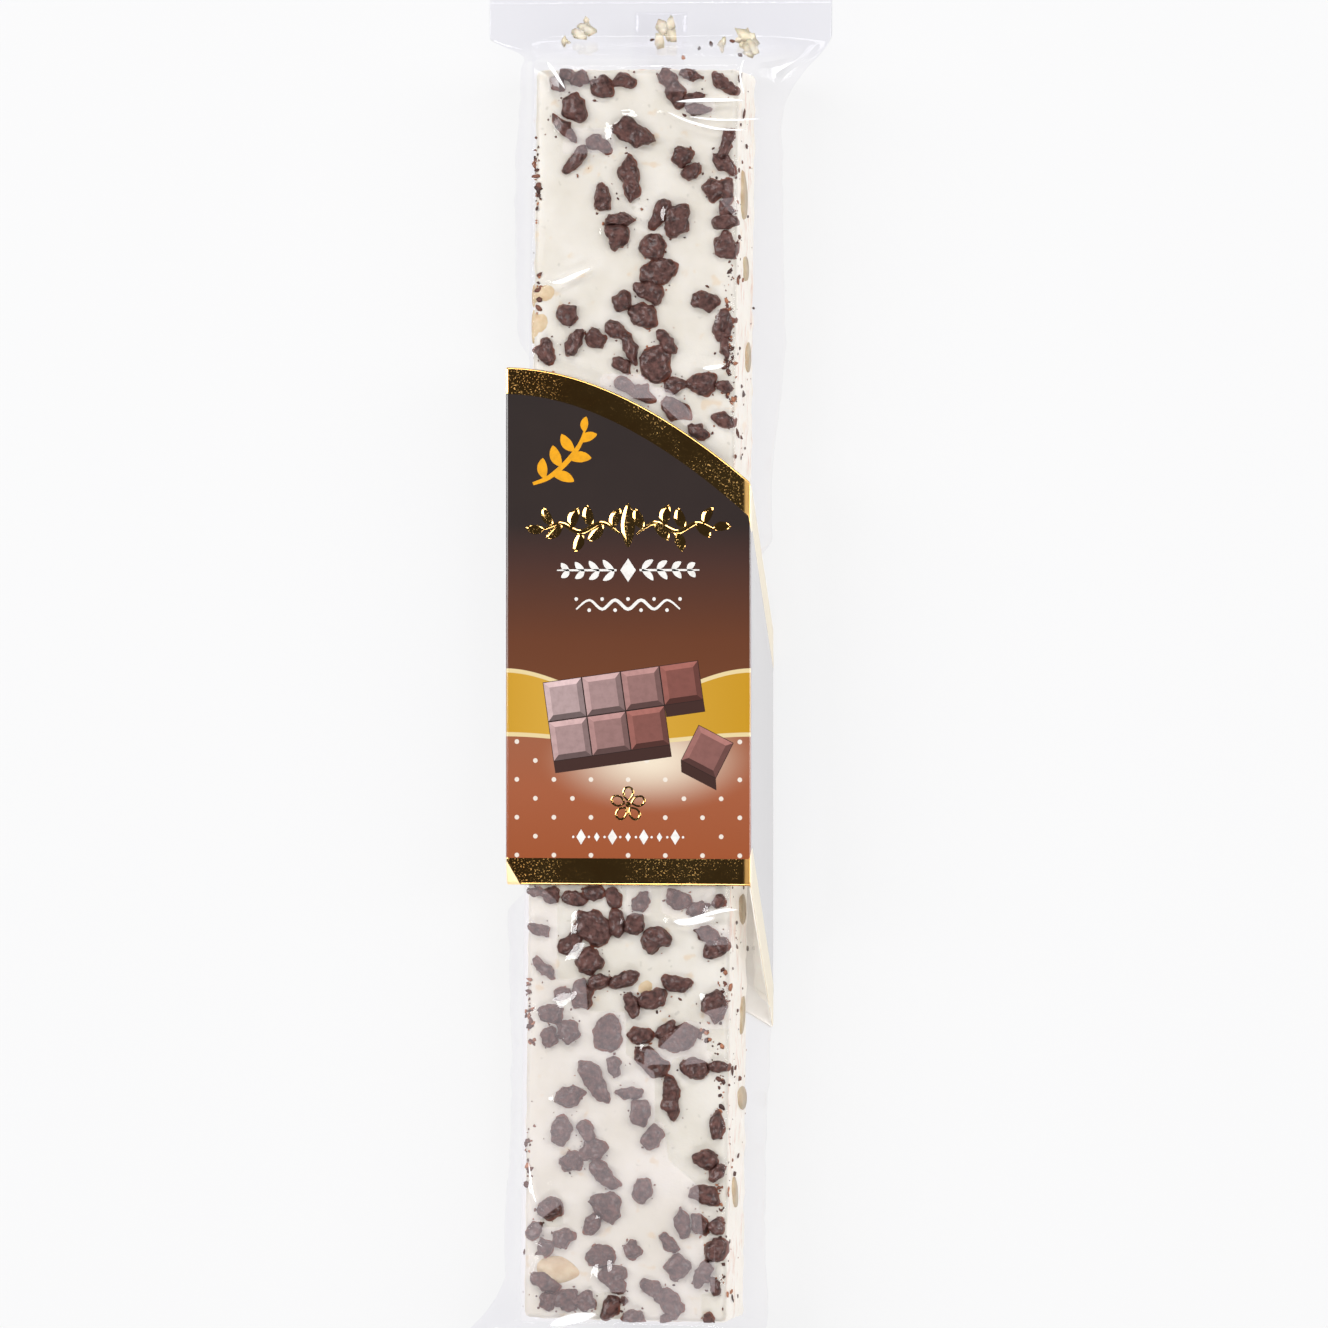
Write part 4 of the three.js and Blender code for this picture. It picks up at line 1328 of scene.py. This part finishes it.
def edgeStretch(ring, heights):
    stretch = []
    for k in range(len(ring)):
        a, b = max(0, k - 1), min(len(ring) - 1, k + 1)
        slope = (heights[b] - heights[a]) / (ring[b][4] - ring[a][4])
        stretch.append(math.sqrt(1 + slope * slope))
    return stretch


def farNode(tree, across, along):  # the distance that two distances at right angles make
    squares = mathNode(tree, "ADD", mathNode(tree, "MULTIPLY", across, across),
                       mathNode(tree, "MULTIPLY", along, along))
    return mathNode(tree, "SQRT", squares)


def glowMask(tree, s, y):
    glowX, glowY, glowWidth, glowHeight = sleevePrint["glow"]
    across = mathNode(tree, "DIVIDE", mathNode(tree, "SUBTRACT", s, glowX), glowWidth)
    along = mathNode(tree, "DIVIDE", mathNode(tree, "SUBTRACT", y, glowY), glowHeight)
    return mapRange(tree, farNode(tree, across, along), 0.0, 1.0, 0.95, 0.0)


def dotMask(tree, s, y):  # rows of white dots, each row half a step beside the last
    pitch = sleevePrint["dotPitch"]
    below = mathNode(tree, "SUBTRACT", sleevePrint["dotTop"], y)
    row = mathNode(tree, "DIVIDE", below, pitch)
    rowIndex = mathNode(tree, "ROUND", row)
    rowAway = mathNode(tree, "MULTIPLY", mathNode(tree, "SUBTRACT", row, rowIndex), pitch)
    odd = mathNode(tree, "MODULO", mathNode(tree, "ABSOLUTE", rowIndex), 2.0)
    shift = mathNode(tree, "MULTIPLY", odd, 0.5)
    column = mathNode(tree, "ADD", mathNode(tree, "DIVIDE", s, 2 * pitch), shift)
    columnPart = mathNode(tree, "SUBTRACT", column, mathNode(tree, "ROUND", column))
    columnAway = mathNode(tree, "MULTIPLY", columnPart, 2 * pitch)
    radius, soft = sleevePrint["dotRadius"], sleevePrint["dotSoft"]
    dot = mapRange(tree, farNode(tree, rowAway, columnAway), radius - soft, radius + soft, 1.0, 0.0)
    for middle, halfWidth, halfHeight in sleevePrint["dotGaps"]:
        besides = mathNode(tree, "GREATER_THAN", mathNode(tree, "ABSOLUTE", s), halfWidth)
        upAway = mathNode(tree, "ABSOLUTE", mathNode(tree, "SUBTRACT", y, middle))
        beyond = mathNode(tree, "GREATER_THAN", upAway, halfHeight)
        dot = mathNode(tree, "MULTIPLY", dot, mathNode(tree, "MAXIMUM", besides, beyond))
    return mathNode(tree, "MULTIPLY", dot, 0.95)


def makePrintMaterial():
    material, tree = newMaterial("printedCard")
    uv = addNode(tree, "ShaderNodeUVMap", uv_map="print")
    split = addNode(tree, "ShaderNodeSeparateXYZ")
    tree.links.new(uv.outputs[0], split.inputs[0])
    s = mathNode(tree, "MULTIPLY", split.outputs[0], sleevePrint["uvSize"])  # both in millimetres
    y = mathNode(tree, "MULTIPLY", split.outputs[1], sleevePrint["uvSize"])
    fade = mapRange(tree, y, *sleevePrint["fade"], kind="LINEAR")
    upper = rampNode(tree, fade, [(0.0, (0.0235, 0.0175, 0.0165)), (0.5, (0.026, 0.0178, 0.0165)),
                                  (0.61, (0.051, 0.0235, 0.019)), (0.865, (0.112, 0.037, 0.0175)),
                                  (1.0, (0.124, 0.041, 0.018))])
    cosine = mathNode(tree, "COSINE", mathNode(tree, "MULTIPLY", s, math.pi / sleeve["halfWidth"]))
    hill = mathNode(tree, "MULTIPLY_ADD", cosine, 0.5, 0.5)
    topLine = mathNode(tree, "MULTIPLY_ADD", hill, -sleevePrint["waveDip"], sleevePrint["waveTop"])
    lowLine = mathNode(tree, "MULTIPLY_ADD", hill, -sleevePrint["waveSag"], sleevePrint["waveBottom"])
    fromTop = mathNode(tree, "SUBTRACT", y, topLine)
    fromLow = mathNode(tree, "SUBTRACT", y, lowLine)
    fromLeft = mapRange(tree, s, -sleeve["halfWidth"], sleeve["halfWidth"], kind="LINEAR")
    goldShade = rampNode(tree, fromLeft, [
        (0.0, (0.465, 0.25, 0.022)), (0.3, (0.53, 0.31, 0.045)), (1.0, (0.44, 0.23, 0.014))])
    downwards = mapRange(tree, y, *sleevePrint["lowFade"], kind="LINEAR")
    lowShade = rampNode(tree, downwards, [
        (0.0, (0.27, 0.093, 0.048)), (0.45, (0.29, 0.086, 0.039)), (1.0, (0.268, 0.069, 0.024))])
    lowGlow = mixColour(tree, glowMask(tree, s, y), lowShade, (0.69, 0.60, 0.475, 1))
    dotted = mixColour(tree, dotMask(tree, s, y), lowGlow, (0.68, 0.62, 0.55, 1))
    edgeSoft = sleevePrint["edgeSoft"]
    belowTop = mapRange(tree, fromTop, -edgeSoft, edgeSoft, 1.0, 0.0)
    belowLow = mapRange(tree, fromLow, -edgeSoft, edgeSoft, 1.0, 0.0)
    field = mixColour(tree, belowTop, upper, goldShade)
    field = mixColour(tree, belowLow, field, dotted)
    for away in (fromTop, fromLow):
        near = mathNode(tree, "ABSOLUTE", away)
        half = sleevePrint["lineHalf"]
        line = mapRange(tree, near, half - edgeSoft, half + edgeSoft, 1.0, 0.0)
        field = mixColour(tree, line, field, (0.62, 0.50, 0.27, 1))
    away = mathNode(tree, "ABSOLUTE", s)
    aside = mapRange(tree, away, sleeve["halfWidth"] - 0.3, sleeve["halfWidth"] - 0.1)
    field = mixColour(tree, aside, field, (0.60, 0.585, 0.60, 1))  # the side and back panels are bare
    where = objectCoordinates(tree)
    mottle, height = grain(tree, where, 60.0, 1500.0, 0.5)
    shade = mapRange(tree, mottle, 0.3, 0.7, 0.0, 0.02)
    printed = mixColour(tree, shade, field, (0.16, 0.10, 0.08, 1))
    shader = principled(tree, {
        "Roughness": 0.35,
        "Specular IOR Level": 0.12,
        "Coat Weight": 1.0,
        "Coat Roughness": 0.03,
        "Coat IOR": 1.5,
        "IOR": 1.5,
    })
    tree.links.new(printed, shader.inputs["Base Color"])
    tree.links.new(bumpNode(tree, height, 0.06, 0.0002), shader.inputs["Normal"])
    return material


def makeFoilMaterial():  # a dark mirror with fine frosted specks
    material, tree = newMaterial("goldFoil")
    where = objectCoordinates(tree)
    mottle, height = grain(tree, where, 90.0, 900.0, 0.5)
    tone = rampNode(tree, mottle, [(0.35, (0.76, 0.40, 0.12)), (0.65, (0.92, 0.56, 0.19))])
    split = addNode(tree, "ShaderNodeSeparateXYZ")
    tree.links.new(where, split.inputs[0])
    across = mathNode(tree, "MULTIPLY", split.outputs[0], 1 / mm)
    out = mathNode(tree, "ADD", across, sleeve["halfWidth"])
    along = mathNode(tree, "MULTIPLY_ADD", split.outputs[1], 1 / mm, -sleeve["bottom"])
    wedge = sleevePrint["wedge"]
    slant = mathNode(tree, "MULTIPLY_ADD", along, wedge / sleevePrint["band"], out)
    rubbedGlow = mapRange(tree, slant, wedge - 0.15, wedge + 0.15, 1.0, 0.0)
    aside = mapRange(tree, mathNode(tree, "ABSOLUTE", across), *sleevePrint["foilAside"])
    rubbedGlow = mathNode(tree, "SUBTRACT", rubbedGlow, aside, clamp=True)
    specks = mapRange(tree, noiseNode(tree, where, 3200.0, 3.0, 0.65), 0.55, 0.68)
    leftEnd = mapRange(tree, across, *sleevePrint["foilLeft"], 1.0, 0.0)
    patches = mathNode(tree, "MAXIMUM", mapRange(tree, mottle, 0.44, 0.6, 0.15, 0.8), leftEnd)
    frosted = mathNode(tree, "MAXIMUM", rubbedGlow, mathNode(tree, "MULTIPLY", specks, patches))
    rightEdge = mapRange(tree, across, *sleevePrint["foilRight"], 0.0, 0.7)
    frosted = mathNode(tree, "MAXIMUM", frosted, rightEdge)
    rough = mathNode(tree, "MULTIPLY_ADD", frosted, 0.5, 0.06)
    toned = mixColour(tree, rubbedGlow, tone, (1.0, 0.80, 0.46, 1))
    toned = mixColour(tree, aside, toned, (0.90, 0.83, 0.70, 1))
    shader = principled(tree, {"Specular IOR Level": 0.0, "Emission Color": (1.0, 0.74, 0.42, 1)})
    tree.links.new(toned, shader.inputs["Base Color"])
    rough = mathNode(tree, "MAXIMUM", rough, mathNode(tree, "MULTIPLY", aside, 0.5))
    tree.links.new(rough, shader.inputs["Roughness"])
    tree.links.new(mathNode(tree, "MULTIPLY_ADD", aside, -0.9, 0.975), shader.inputs["Metallic"])
    # painted light: the rubbed corner also glows faintly
    tree.links.new(mathNode(tree, "MULTIPLY", rubbedGlow, 0.32), shader.inputs["Emission Strength"])
    tree.links.new(bumpNode(tree, height, 0.1, 0.00003), shader.inputs["Normal"])
    return material


def makeBoardMaterial():
    material, tree = newMaterial("plainBoard")
    where = objectCoordinates(tree)
    mottle, height = grain(tree, where, 300.0, 4000.0, 0.5)
    tone = rampNode(tree, mottle, [(0.3, (0.86, 0.835, 0.78)), (0.7, (0.93, 0.915, 0.87))])
    # painted light: the board glows faintly, which lifts the shade inside the sleeve
    shader = principled(tree, {
        "Roughness": 0.7,
        "Emission Color": (1.0, 0.97, 0.95, 1),
        "Emission Strength": 0.1,
    })
    tree.links.new(tone, shader.inputs["Base Color"])
    tree.links.new(bumpNode(tree, height, 0.3, 0.0002), shader.inputs["Normal"])
    return material


def makeSleeve():
    ring = sleevePerimeter()
    tops = [sleeveTopEdge(point[0], point[1]) for point in ring]
    bottoms = [sleeveBottomEdge(point[0], point[1]) for point in ring]
    topStretch = edgeStretch(ring, tops)
    bottomStretch = edgeStretch(ring, bottoms)
    band, lip = sleevePrint["band"], sleevePrint["lip"]
    inner = [(1.5, 0), (band / 2, 0), (band - 1.5, 0), (band - lip - sleevePrint["near"], 0), (band - lip, 0),
             (band - lip * 0.5, sleevePrint["emboss"]), (band, 0)]
    rows = [("low", out, rise) for out, rise in sleevePrint["rowsLow"] + inner]
    foilRows = len(rows)
    shares = [0.001] + [k / sleevePrint["rows"] for k in range(1, sleevePrint["rows"])] + [0.999]
    rows += [("field", share, 0) for share in shares]
    rows += [("high", out, rise) for out, rise in (sleevePrint["rowsHigh"] + inner)[::-1]]

    def place(i, j):
        x, z, nx, nz, s = ring[i]
        kind, amount, rise = rows[j]
        low = bottoms[i] + band * bottomStretch[i]
        high = tops[i] - band * topStretch[i]
        y = mix(low, high, amount)
        if kind == "low":
            y = bottoms[i] + amount * bottomStretch[i]
        if kind == "high":
            y = tops[i] - amount * topStretch[i]
        if nz < -0.9 and x < sleevePrint["lapX"]:
            z += sleevePrint["lapStep"]
        if kind == "low":
            width = sleevePrint["wedge"] * (1 - amount / band)
            drop = sleevePrint["wedgeSlope"] * max(0, width - (x + sleeve["halfWidth"]))
            z -= drop * ramp(z, sleeve["height"] - 5, sleeve["height"] - 0.6)
        return Vector((x + nx * rise, y, z + nz * rise))

    bm = bmesh.new()
    last = len(rows) - 1
    order = {}
    for i in range(len(ring)):
        for j in range(last + 1):
            point = place(i, j)
            order[tuple(round(value, 4) for value in point)] = (i, j)
    gridSheet(bm, len(ring) - 1, last, place)
    uvLayer = bm.loops.layers.uv.new("print")
    for face in bm.faces:
        spots = [order[tuple(round(value, 4) for value in loop.vert.co)] for loop in face.loops]
        middleRow = sum(j for _, j in spots) / 4
        foil = middleRow < foilRows - 1 or middleRow > last - foilRows + 1
        face.material_index = 1 if foil else 0
        for loop, (i, j) in zip(face.loops, spots):
            loop[uvLayer].uv = (ring[i][4] / sleevePrint["uvSize"], loop.vert.co.y / sleevePrint["uvSize"])
    bmesh.ops.recalc_face_normals(bm, faces=bm.faces)
    materials = [printMaterial, foilMaterial, boardMaterial, boardMaterial]
    piece = finishPiece("printed_sleeve", bm, materials)
    thick = piece.modifiers.new("board", "SOLIDIFY")
    thick.thickness = sleevePrint["board"] * mm
    thick.offset = -1
    thick.material_offset = 2
    thick.material_offset_rim = 2
    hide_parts("card_sleeve")


# Ornaments on the front of the sleeve, generic ones

ornaments = {
    "steps": 20,
    "face": sleeveHigh.z - sleevePrint["face"],
    "inkLift": 0.012,
    "foilLift": 0.015,
    "relief": 0.14,
    "sunInk": (0.70, 0.315, 0.012),
    "whiteInk": (0.74, 0.72, 0.69),
    "stem": [(-15.8, 34.4), (-13.2, 35.4), (-10.4, 37.7), (-8.1, 40.6), (-7.2, 43)],
    # leaves of the sprig: x, y, direction in degrees, length, width
    "leaves": [(-13.8, 35.2, 96, 3.4, 1.7), (-12.5, 35.9, -18, 3.7, 1.7), (-11.1, 37.2, 112, 3.7, 1.8),
               (-9.8, 38.4, 2, 3.7, 1.8), (-8.9, 39.7, 128, 3.5, 1.7), (-7.9, 41.2, 24, 3, 1.5),
               (-7.2, 42.8, 84, 2.5, 1.3)],
    # right half of the vine in foil: stem, and leaves as above
    "vine": [(1.4, 26.2), (4.4, 28), (8, 26.5), (11.2, 27.9), (14, 27)],
    "vineLeaves": [(2.6, 27, 112, 3.6, 1.8), (4.2, 27.9, -48, 3.7, 1.8), (6, 27.4, 78, 3.6, 1.8),
                   (7.8, 26.5, -70, 3.4, 1.7), (9.4, 27, 108, 3.6, 1.8), (11, 27.9, -42, 3.5, 1.7),
                   (12.5, 27.6, 62, 3.3, 1.6), (13.9, 27, 6, 3.1, 1.5)],
    "laurel": {"y": 20.3, "pitch": 2.5, "halfLength": 11.8},
    "wave": {"y": 14.7, "halfLength": 8.6, "height": 0.75},
    "garland": {"y": -23.1, "pitch": 2.6},
    "blossom": (0, -17.8),
    "tablet": {"middle": (-0.4, -2.6), "square": 6.5, "turn": math.radians(8), "thick": 1.9,
               "apart": (13.1, -9.2), "apartTurn": math.radians(-27)},
    "deepInk": (0.024, 0.014, 0.013),
    "darkInk": (0.045, 0.021, 0.018),
}


def addStroke(bm, layer, points, widths, lift, relief=0.0, ink=(1, 1, 1)):
    steps = ornaments["steps"] if len(points) < 6 else 2 * ornaments["steps"]

    def place(i, j):
        t = j / steps
        centre = curveAt(points, t)
        ahead = (curveAt(points, min(1, t + 0.01)) - curveAt(points, max(0, t - 0.01))).normalized()
        width = mix(widths[0], widths[1], math.sin(math.pi * min(t, 0.5)))
        if t > 0.5:
            width = mix(widths[2], widths[1], math.sin(math.pi * t))
        off = (i / 4 - 0.5) * width
        dome = relief * (1 - (i / 2 - 1) ** 2) * min(1, width / 0.8)
        return Vector((centre.x + ahead.y * off, centre.y - ahead.x * off, ornaments["face"] + lift + dome))

    def paint(vert, i, j):
        vert[layer] = (*ink, 1)

    gridSheet(bm, 4, steps, place, paint)


def addLeaf(bm, layer, x, y, degrees, length, width, lift, relief=0.0, ink=(1, 1, 1)):
    way = Vector((math.cos(math.radians(degrees)), math.sin(math.radians(degrees))))
    bend = Vector((-way.y, way.x)) * length * 0.08
    start = Vector((x, y))
    points = [tuple(start), tuple(start + way * length / 2 + bend), tuple(start + way * length)]
    addStroke(bm, layer, points, (0.05, width, 0.05), lift, relief, ink)


def addDot(bm, layer, x, y, radius, lift, ink):
    matrix = Matrix.Translation((x, y, ornaments["face"] + lift))
    made = bmesh.ops.create_circle(bm, cap_ends=True, segments=18, radius=radius, matrix=matrix)
    for vert in made["verts"]:
        vert[layer] = (*ink, 1)


def addPatch(bm, layer, corners, lift, ink):
    verts = [bm.verts.new((x, y, ornaments["face"] + lift)) for x, y in corners]
    for vert in verts:
        vert[layer] = (*ink, 1)
    bm.faces.new(verts)


def addDiamond(bm, layer, x, y, halfWidth, halfHeight, lift, ink):
    corners = [(x, y - halfHeight), (x + halfWidth, y), (x, y + halfHeight), (x - halfWidth, y)]
    addPatch(bm, layer, corners, lift, ink)


def addSquare(bm, layer, middle, size, turn, light):  # one bevelled square of chocolate, drawn flat
    def corner(u, v, scale):
        x, y = u * size / 2 * scale, v * size / 2 * scale
        return (middle[0] + x * math.cos(turn) - y * math.sin(turn),
                middle[1] + x * math.sin(turn) + y * math.cos(turn))

    tone = Vector((0.185, 0.068, 0.056)).lerp(Vector((0.40, 0.30, 0.30)), light)
    spots = [(-1, -1), (1, -1), (1, 1), (-1, 1)]
    lift = ornaments["inkLift"] + 0.01
    for k, bright in enumerate((0.34, 0.6, 1.7, 1.35)):  # lower, right, upper and left bevel
        (ua, va), (ub, vb) = spots[k], spots[(k + 1) % 4]
        corners = [corner(ua, va, 0.97), corner(ub, vb, 0.97), corner(ub, vb, 0.7), corner(ua, va, 0.7)]
        addPatch(bm, layer, corners, lift, tuple(min(0.8, value) for value in tone * bright))
    addPatch(bm, layer, [corner(u, v, 0.7) for u, v in spots], lift, tuple(tone))


def addTablet(bm, layer):
    tablet = ornaments["tablet"]
    size, turn = tablet["square"], tablet["turn"]

    def at(u, v, spin=turn, middle=tablet["middle"]):
        return (middle[0] + u * size * math.cos(spin) - v * size * math.sin(spin),
                middle[1] + u * size * math.sin(spin) + v * size * math.cos(spin))

    dark, deep = ornaments["darkInk"], ornaments["deepInk"]
    thick = tablet["thick"]
    lift = ornaments["inkLift"]
    low = [at(-2, -1), at(1, -1), at(1, 0), at(2, 0), at(2, 1), at(-2, 1)]
    addPatch(bm, layer, low, lift, deep)
    for a, b in ((0, 1), (2, 3)):
        (ax, ay), (bx, by) = low[a], low[b]
        addPatch(bm, layer, [(ax + 0.3, ay - thick), (bx + 0.3, by - thick), (bx, by), (ax, ay)], lift, dark)
    for v in (-0.5, 0.5):
        for k in range(4):
            u = k - 1.5
            if u < 1 or v > 0:
                addSquare(bm, layer, at(u, v), size, turn, max(0, 0.75 - 0.3 * k + 0.25 * v))
    apart, spin = tablet["apart"], tablet["apartTurn"]
    edge = [at(u, v, spin, apart) for u, v in ((-0.5, -0.5), (0.5, -0.5), (0.5, 0.5), (-0.5, 0.5))]
    addPatch(bm, layer, edge, lift, deep)
    (ax, ay), (bx, by) = edge[0], edge[1]
    addPatch(bm, layer, [(ax, ay), (ax + 0.1, ay - thick), (bx + 0.1, by - thick), (bx, by)], lift, dark)
    addSquare(bm, layer, apart, size, spin, 0.1)


def faceUp(bm):
    bm.normal_update()
    under = [face for face in bm.faces if face.normal.z < 0]
    bmesh.ops.reverse_faces(bm, faces=under)


def makeInkMaterial():
    material, tree = newMaterial("ornamentInk")
    ink = addNode(tree, "ShaderNodeAttribute", attribute_name="ink").outputs["Color"]
    mottle, height = grain(tree, objectCoordinates(tree), 900.0, 3200.0, 0.5)
    toned = mixColour(tree, mapRange(tree, mottle, 0.35, 0.75, 0.0, 0.18), ink, (0.05, 0.025, 0.02, 1))
    shader = principled(tree, {"Roughness": 0.35, "Specular IOR Level": 0.12, "Coat Weight": 1.0,
                               "Coat Roughness": 0.03, "Coat IOR": 1.5})
    tree.links.new(toned, shader.inputs["Base Color"])
    tree.links.new(bumpNode(tree, height, 0.05, 0.0001), shader.inputs["Normal"])
    return material


def makePrintOrnaments():
    bm = bmesh.new()
    layer = bm.verts.layers.float_color.new("ink")
    lift = ornaments["inkLift"]
    sun, white = ornaments["sunInk"], ornaments["whiteInk"]
    addStroke(bm, layer, ornaments["stem"], (0.5, 0.85, 0.3), lift, 0, sun)
    for x, y, degrees, length, width in ornaments["leaves"]:
        addLeaf(bm, layer, x, y, degrees, length, width, lift + 0.003, 0, sun)
    laurel = ornaments["laurel"]
    addDiamond(bm, layer, 0, laurel["y"], 1.3, 1.9, lift, white)
    for side in (-1, 1):
        ends = [(side * 1.9, laurel["y"]), (side * laurel["halfLength"], laurel["y"])]
        addStroke(bm, layer, ends, (0.35, 0.35, 0.2), lift, 0, white)
        for k in range(4):
            for way in (-1, 1):
                degrees = way * 42 if side > 0 else 180 - way * 42
                x = side * (2.3 + laurel["pitch"] * k)
                addLeaf(bm, layer, x, laurel["y"], degrees, 2.5 - 0.25 * k, 1.0, lift, 0, white)
    wave = ornaments["wave"]
    crests = 9
    points = []
    for k in range(crests):
        x = mix(-wave["halfLength"], wave["halfLength"], k / (crests - 1))
        height = wave["height"] * (1 if k % 2 else -1)
        points.append((x, wave["y"] + height))
        addDot(bm, layer, x, wave["y"] - height * 1.2, 0.3, lift, white)
    addStroke(bm, layer, points, (0.25, 0.55, 0.25), lift, 0, white)
    garland = ornaments["garland"]
    for k in range(-3, 4):
        x = k * garland["pitch"]
        tall = 1.25 if k % 2 else 0.75
        addDiamond(bm, layer, x, garland["y"], tall * 0.62, tall, lift, white)
        addDot(bm, layer, x + garland["pitch"] / 2, garland["y"], 0.2, lift, white)
    addDot(bm, layer, -3.5 * garland["pitch"], garland["y"], 0.2, lift, white)
    addTablet(bm, layer)
    faceUp(bm)
    finishPiece("print_ornaments", bm, [inkMaterial], shadeSmooth=False)


def makeFoilOrnaments():
    bm = bmesh.new()
    layer = bm.verts.layers.float_color.new("ink")
    lift, relief = ornaments["foilLift"], ornaments["relief"]
    for side in (-1, 1):
        addStroke(bm, layer, [(side * x, y) for x, y in ornaments["vine"]], (0.3, 0.75, 0.3), lift, relief)
        for x, y, degrees, length, width in ornaments["vineLeaves"]:
            way = degrees if side > 0 else 180 - degrees
            addLeaf(bm, layer, side * x, y, way, length, width, lift + 0.01, relief)
    addStroke(bm, layer, [(0, 24), (0, 27.6), (0, 31.2)], (0.1, 2.3, 0.1), lift, relief)
    x, y = ornaments["blossom"]
    for k in range(5):
        turn = 2 * math.pi * k / 5 + 0.3
        petal = []
        for u, v in ((0.6, 0), (1.5, 0.75), (2.5, 0.62), (2.8, 0), (2.5, -0.62), (1.5, -0.75), (0.6, 0)):
            petal.append((x + u * math.cos(turn) - v * math.sin(turn),
                          y + u * math.sin(turn) + v * math.cos(turn)))
        addStroke(bm, layer, petal, (0.3, 0.34, 0.3), lift, relief * 0.7)
    addDot(bm, layer, x, y, 0.42, lift + 0.02, (1, 1, 1))
    faceUp(bm)
    finishPiece("foil_ornaments", bm, [foilMaterial])


printMaterial = makePrintMaterial()
foilMaterial = makeFoilMaterial()
boardMaterial = makeBoardMaterial()
inkMaterial = makeInkMaterial()
makeSleeve()
makePrintOrnaments()
makeFoilOrnaments()
print("sleeve done")


# Floor, lights and camera

studio = {
    "imageSize": 1328,
    "distance": 1.6,
    "target": Vector((5.57, 5.04, 18.0)),
    "sensor": 36.0,
    "floorDrop": 0.0002,
    # softboxes, all aimed at the bar: place, size and power
    "lights": {
        "leftSoftbox": ((-1.0, 0.25, 0.95), (0.45, 1.1), 15.0),
        "rightSoftbox": ((1.0, 0.15, 1.0), (0.45, 1.1), 13.0),
        "upperSoftbox": ((0.1, 1.1, 1.05), (1.0, 0.4), 11.0),
        "lowerSoftbox": ((0, -1.15, 0.95), (1.0, 0.35), 9.5),
    },
}


def makeFloor():
    bm = bmesh.new()
    bmesh.ops.create_grid(bm, x_segments=1, y_segments=1, size=6)
    mesh = bpy.data.meshes.new("floor")
    bm.to_mesh(mesh)
    bm.free()
    floor = bpy.data.objects.new("floor", mesh)
    floor.location.z = -studio["floorDrop"]
    bpy.context.scene.collection.objects.link(floor)
    material, tree = newMaterial("floorMaterial")
    principled(tree, {
        "Base Color": (0.15, 0.15, 0.153, 1),
        "Roughness": 1.0,
        "Specular IOR Level": 0.0,
        "Emission Color": (1, 1, 1, 1),
        "Emission Strength": 0.74,
    })
    mesh.materials.append(material)


def addSoftbox(name, place, size, power):
    data = bpy.data.lights.new(name, "AREA")
    data.shape = "RECTANGLE"
    data.size, data.size_y = size
    data.energy = power
    light = bpy.data.objects.new(name, data)
    light.location = place
    light.rotation_euler = (-Vector(place)).to_track_quat("-Z", "Y").to_euler()
    bpy.context.scene.collection.objects.link(light)


def makeLights():
    world = bpy.data.worlds.new("studioWorld")
    world.use_nodes = True
    tree = world.node_tree
    split = addNode(tree, "ShaderNodeSeparateXYZ")
    tree.links.new(objectCoordinates(tree), split.inputs[0])
    bright = mapRange(tree, split.outputs[2], 0.45, 0.88, 1.25, 0.065)  # dark overhead, bright all round
    tree.links.new(bright, tree.nodes["Background"].inputs["Strength"])
    bpy.context.scene.world = world
    for name, (place, size, power) in studio["lights"].items():
        addSoftbox(name, place, size, power)


def makeCamera():
    data = bpy.data.cameras.new("camera")
    camera = bpy.data.objects.new("camera", data)
    bpy.context.scene.collection.objects.link(camera)
    turn = photo["turn"]
    away = Vector((math.sin(turn), 0, math.cos(turn)))
    camera.location = studio["target"] * mm + away * studio["distance"]
    right = Vector((math.cos(turn), 0, -math.sin(turn)))
    up = Vector((0, 1, 0))
    camera.rotation_euler = Matrix((right, up, away)).transposed().to_euler()
    viewWidth = studio["imageSize"] / photo["scale"] * mm
    data.sensor_width = studio["sensor"]
    data.lens = studio["sensor"] * studio["distance"] / viewWidth
    data.clip_start = 0.05
    data.clip_end = 20
    bpy.context.scene.camera = camera


makeFloor()
makeLights()
makeCamera()
bpy.context.scene.view_settings.view_transform = "Standard"
print("studio done")
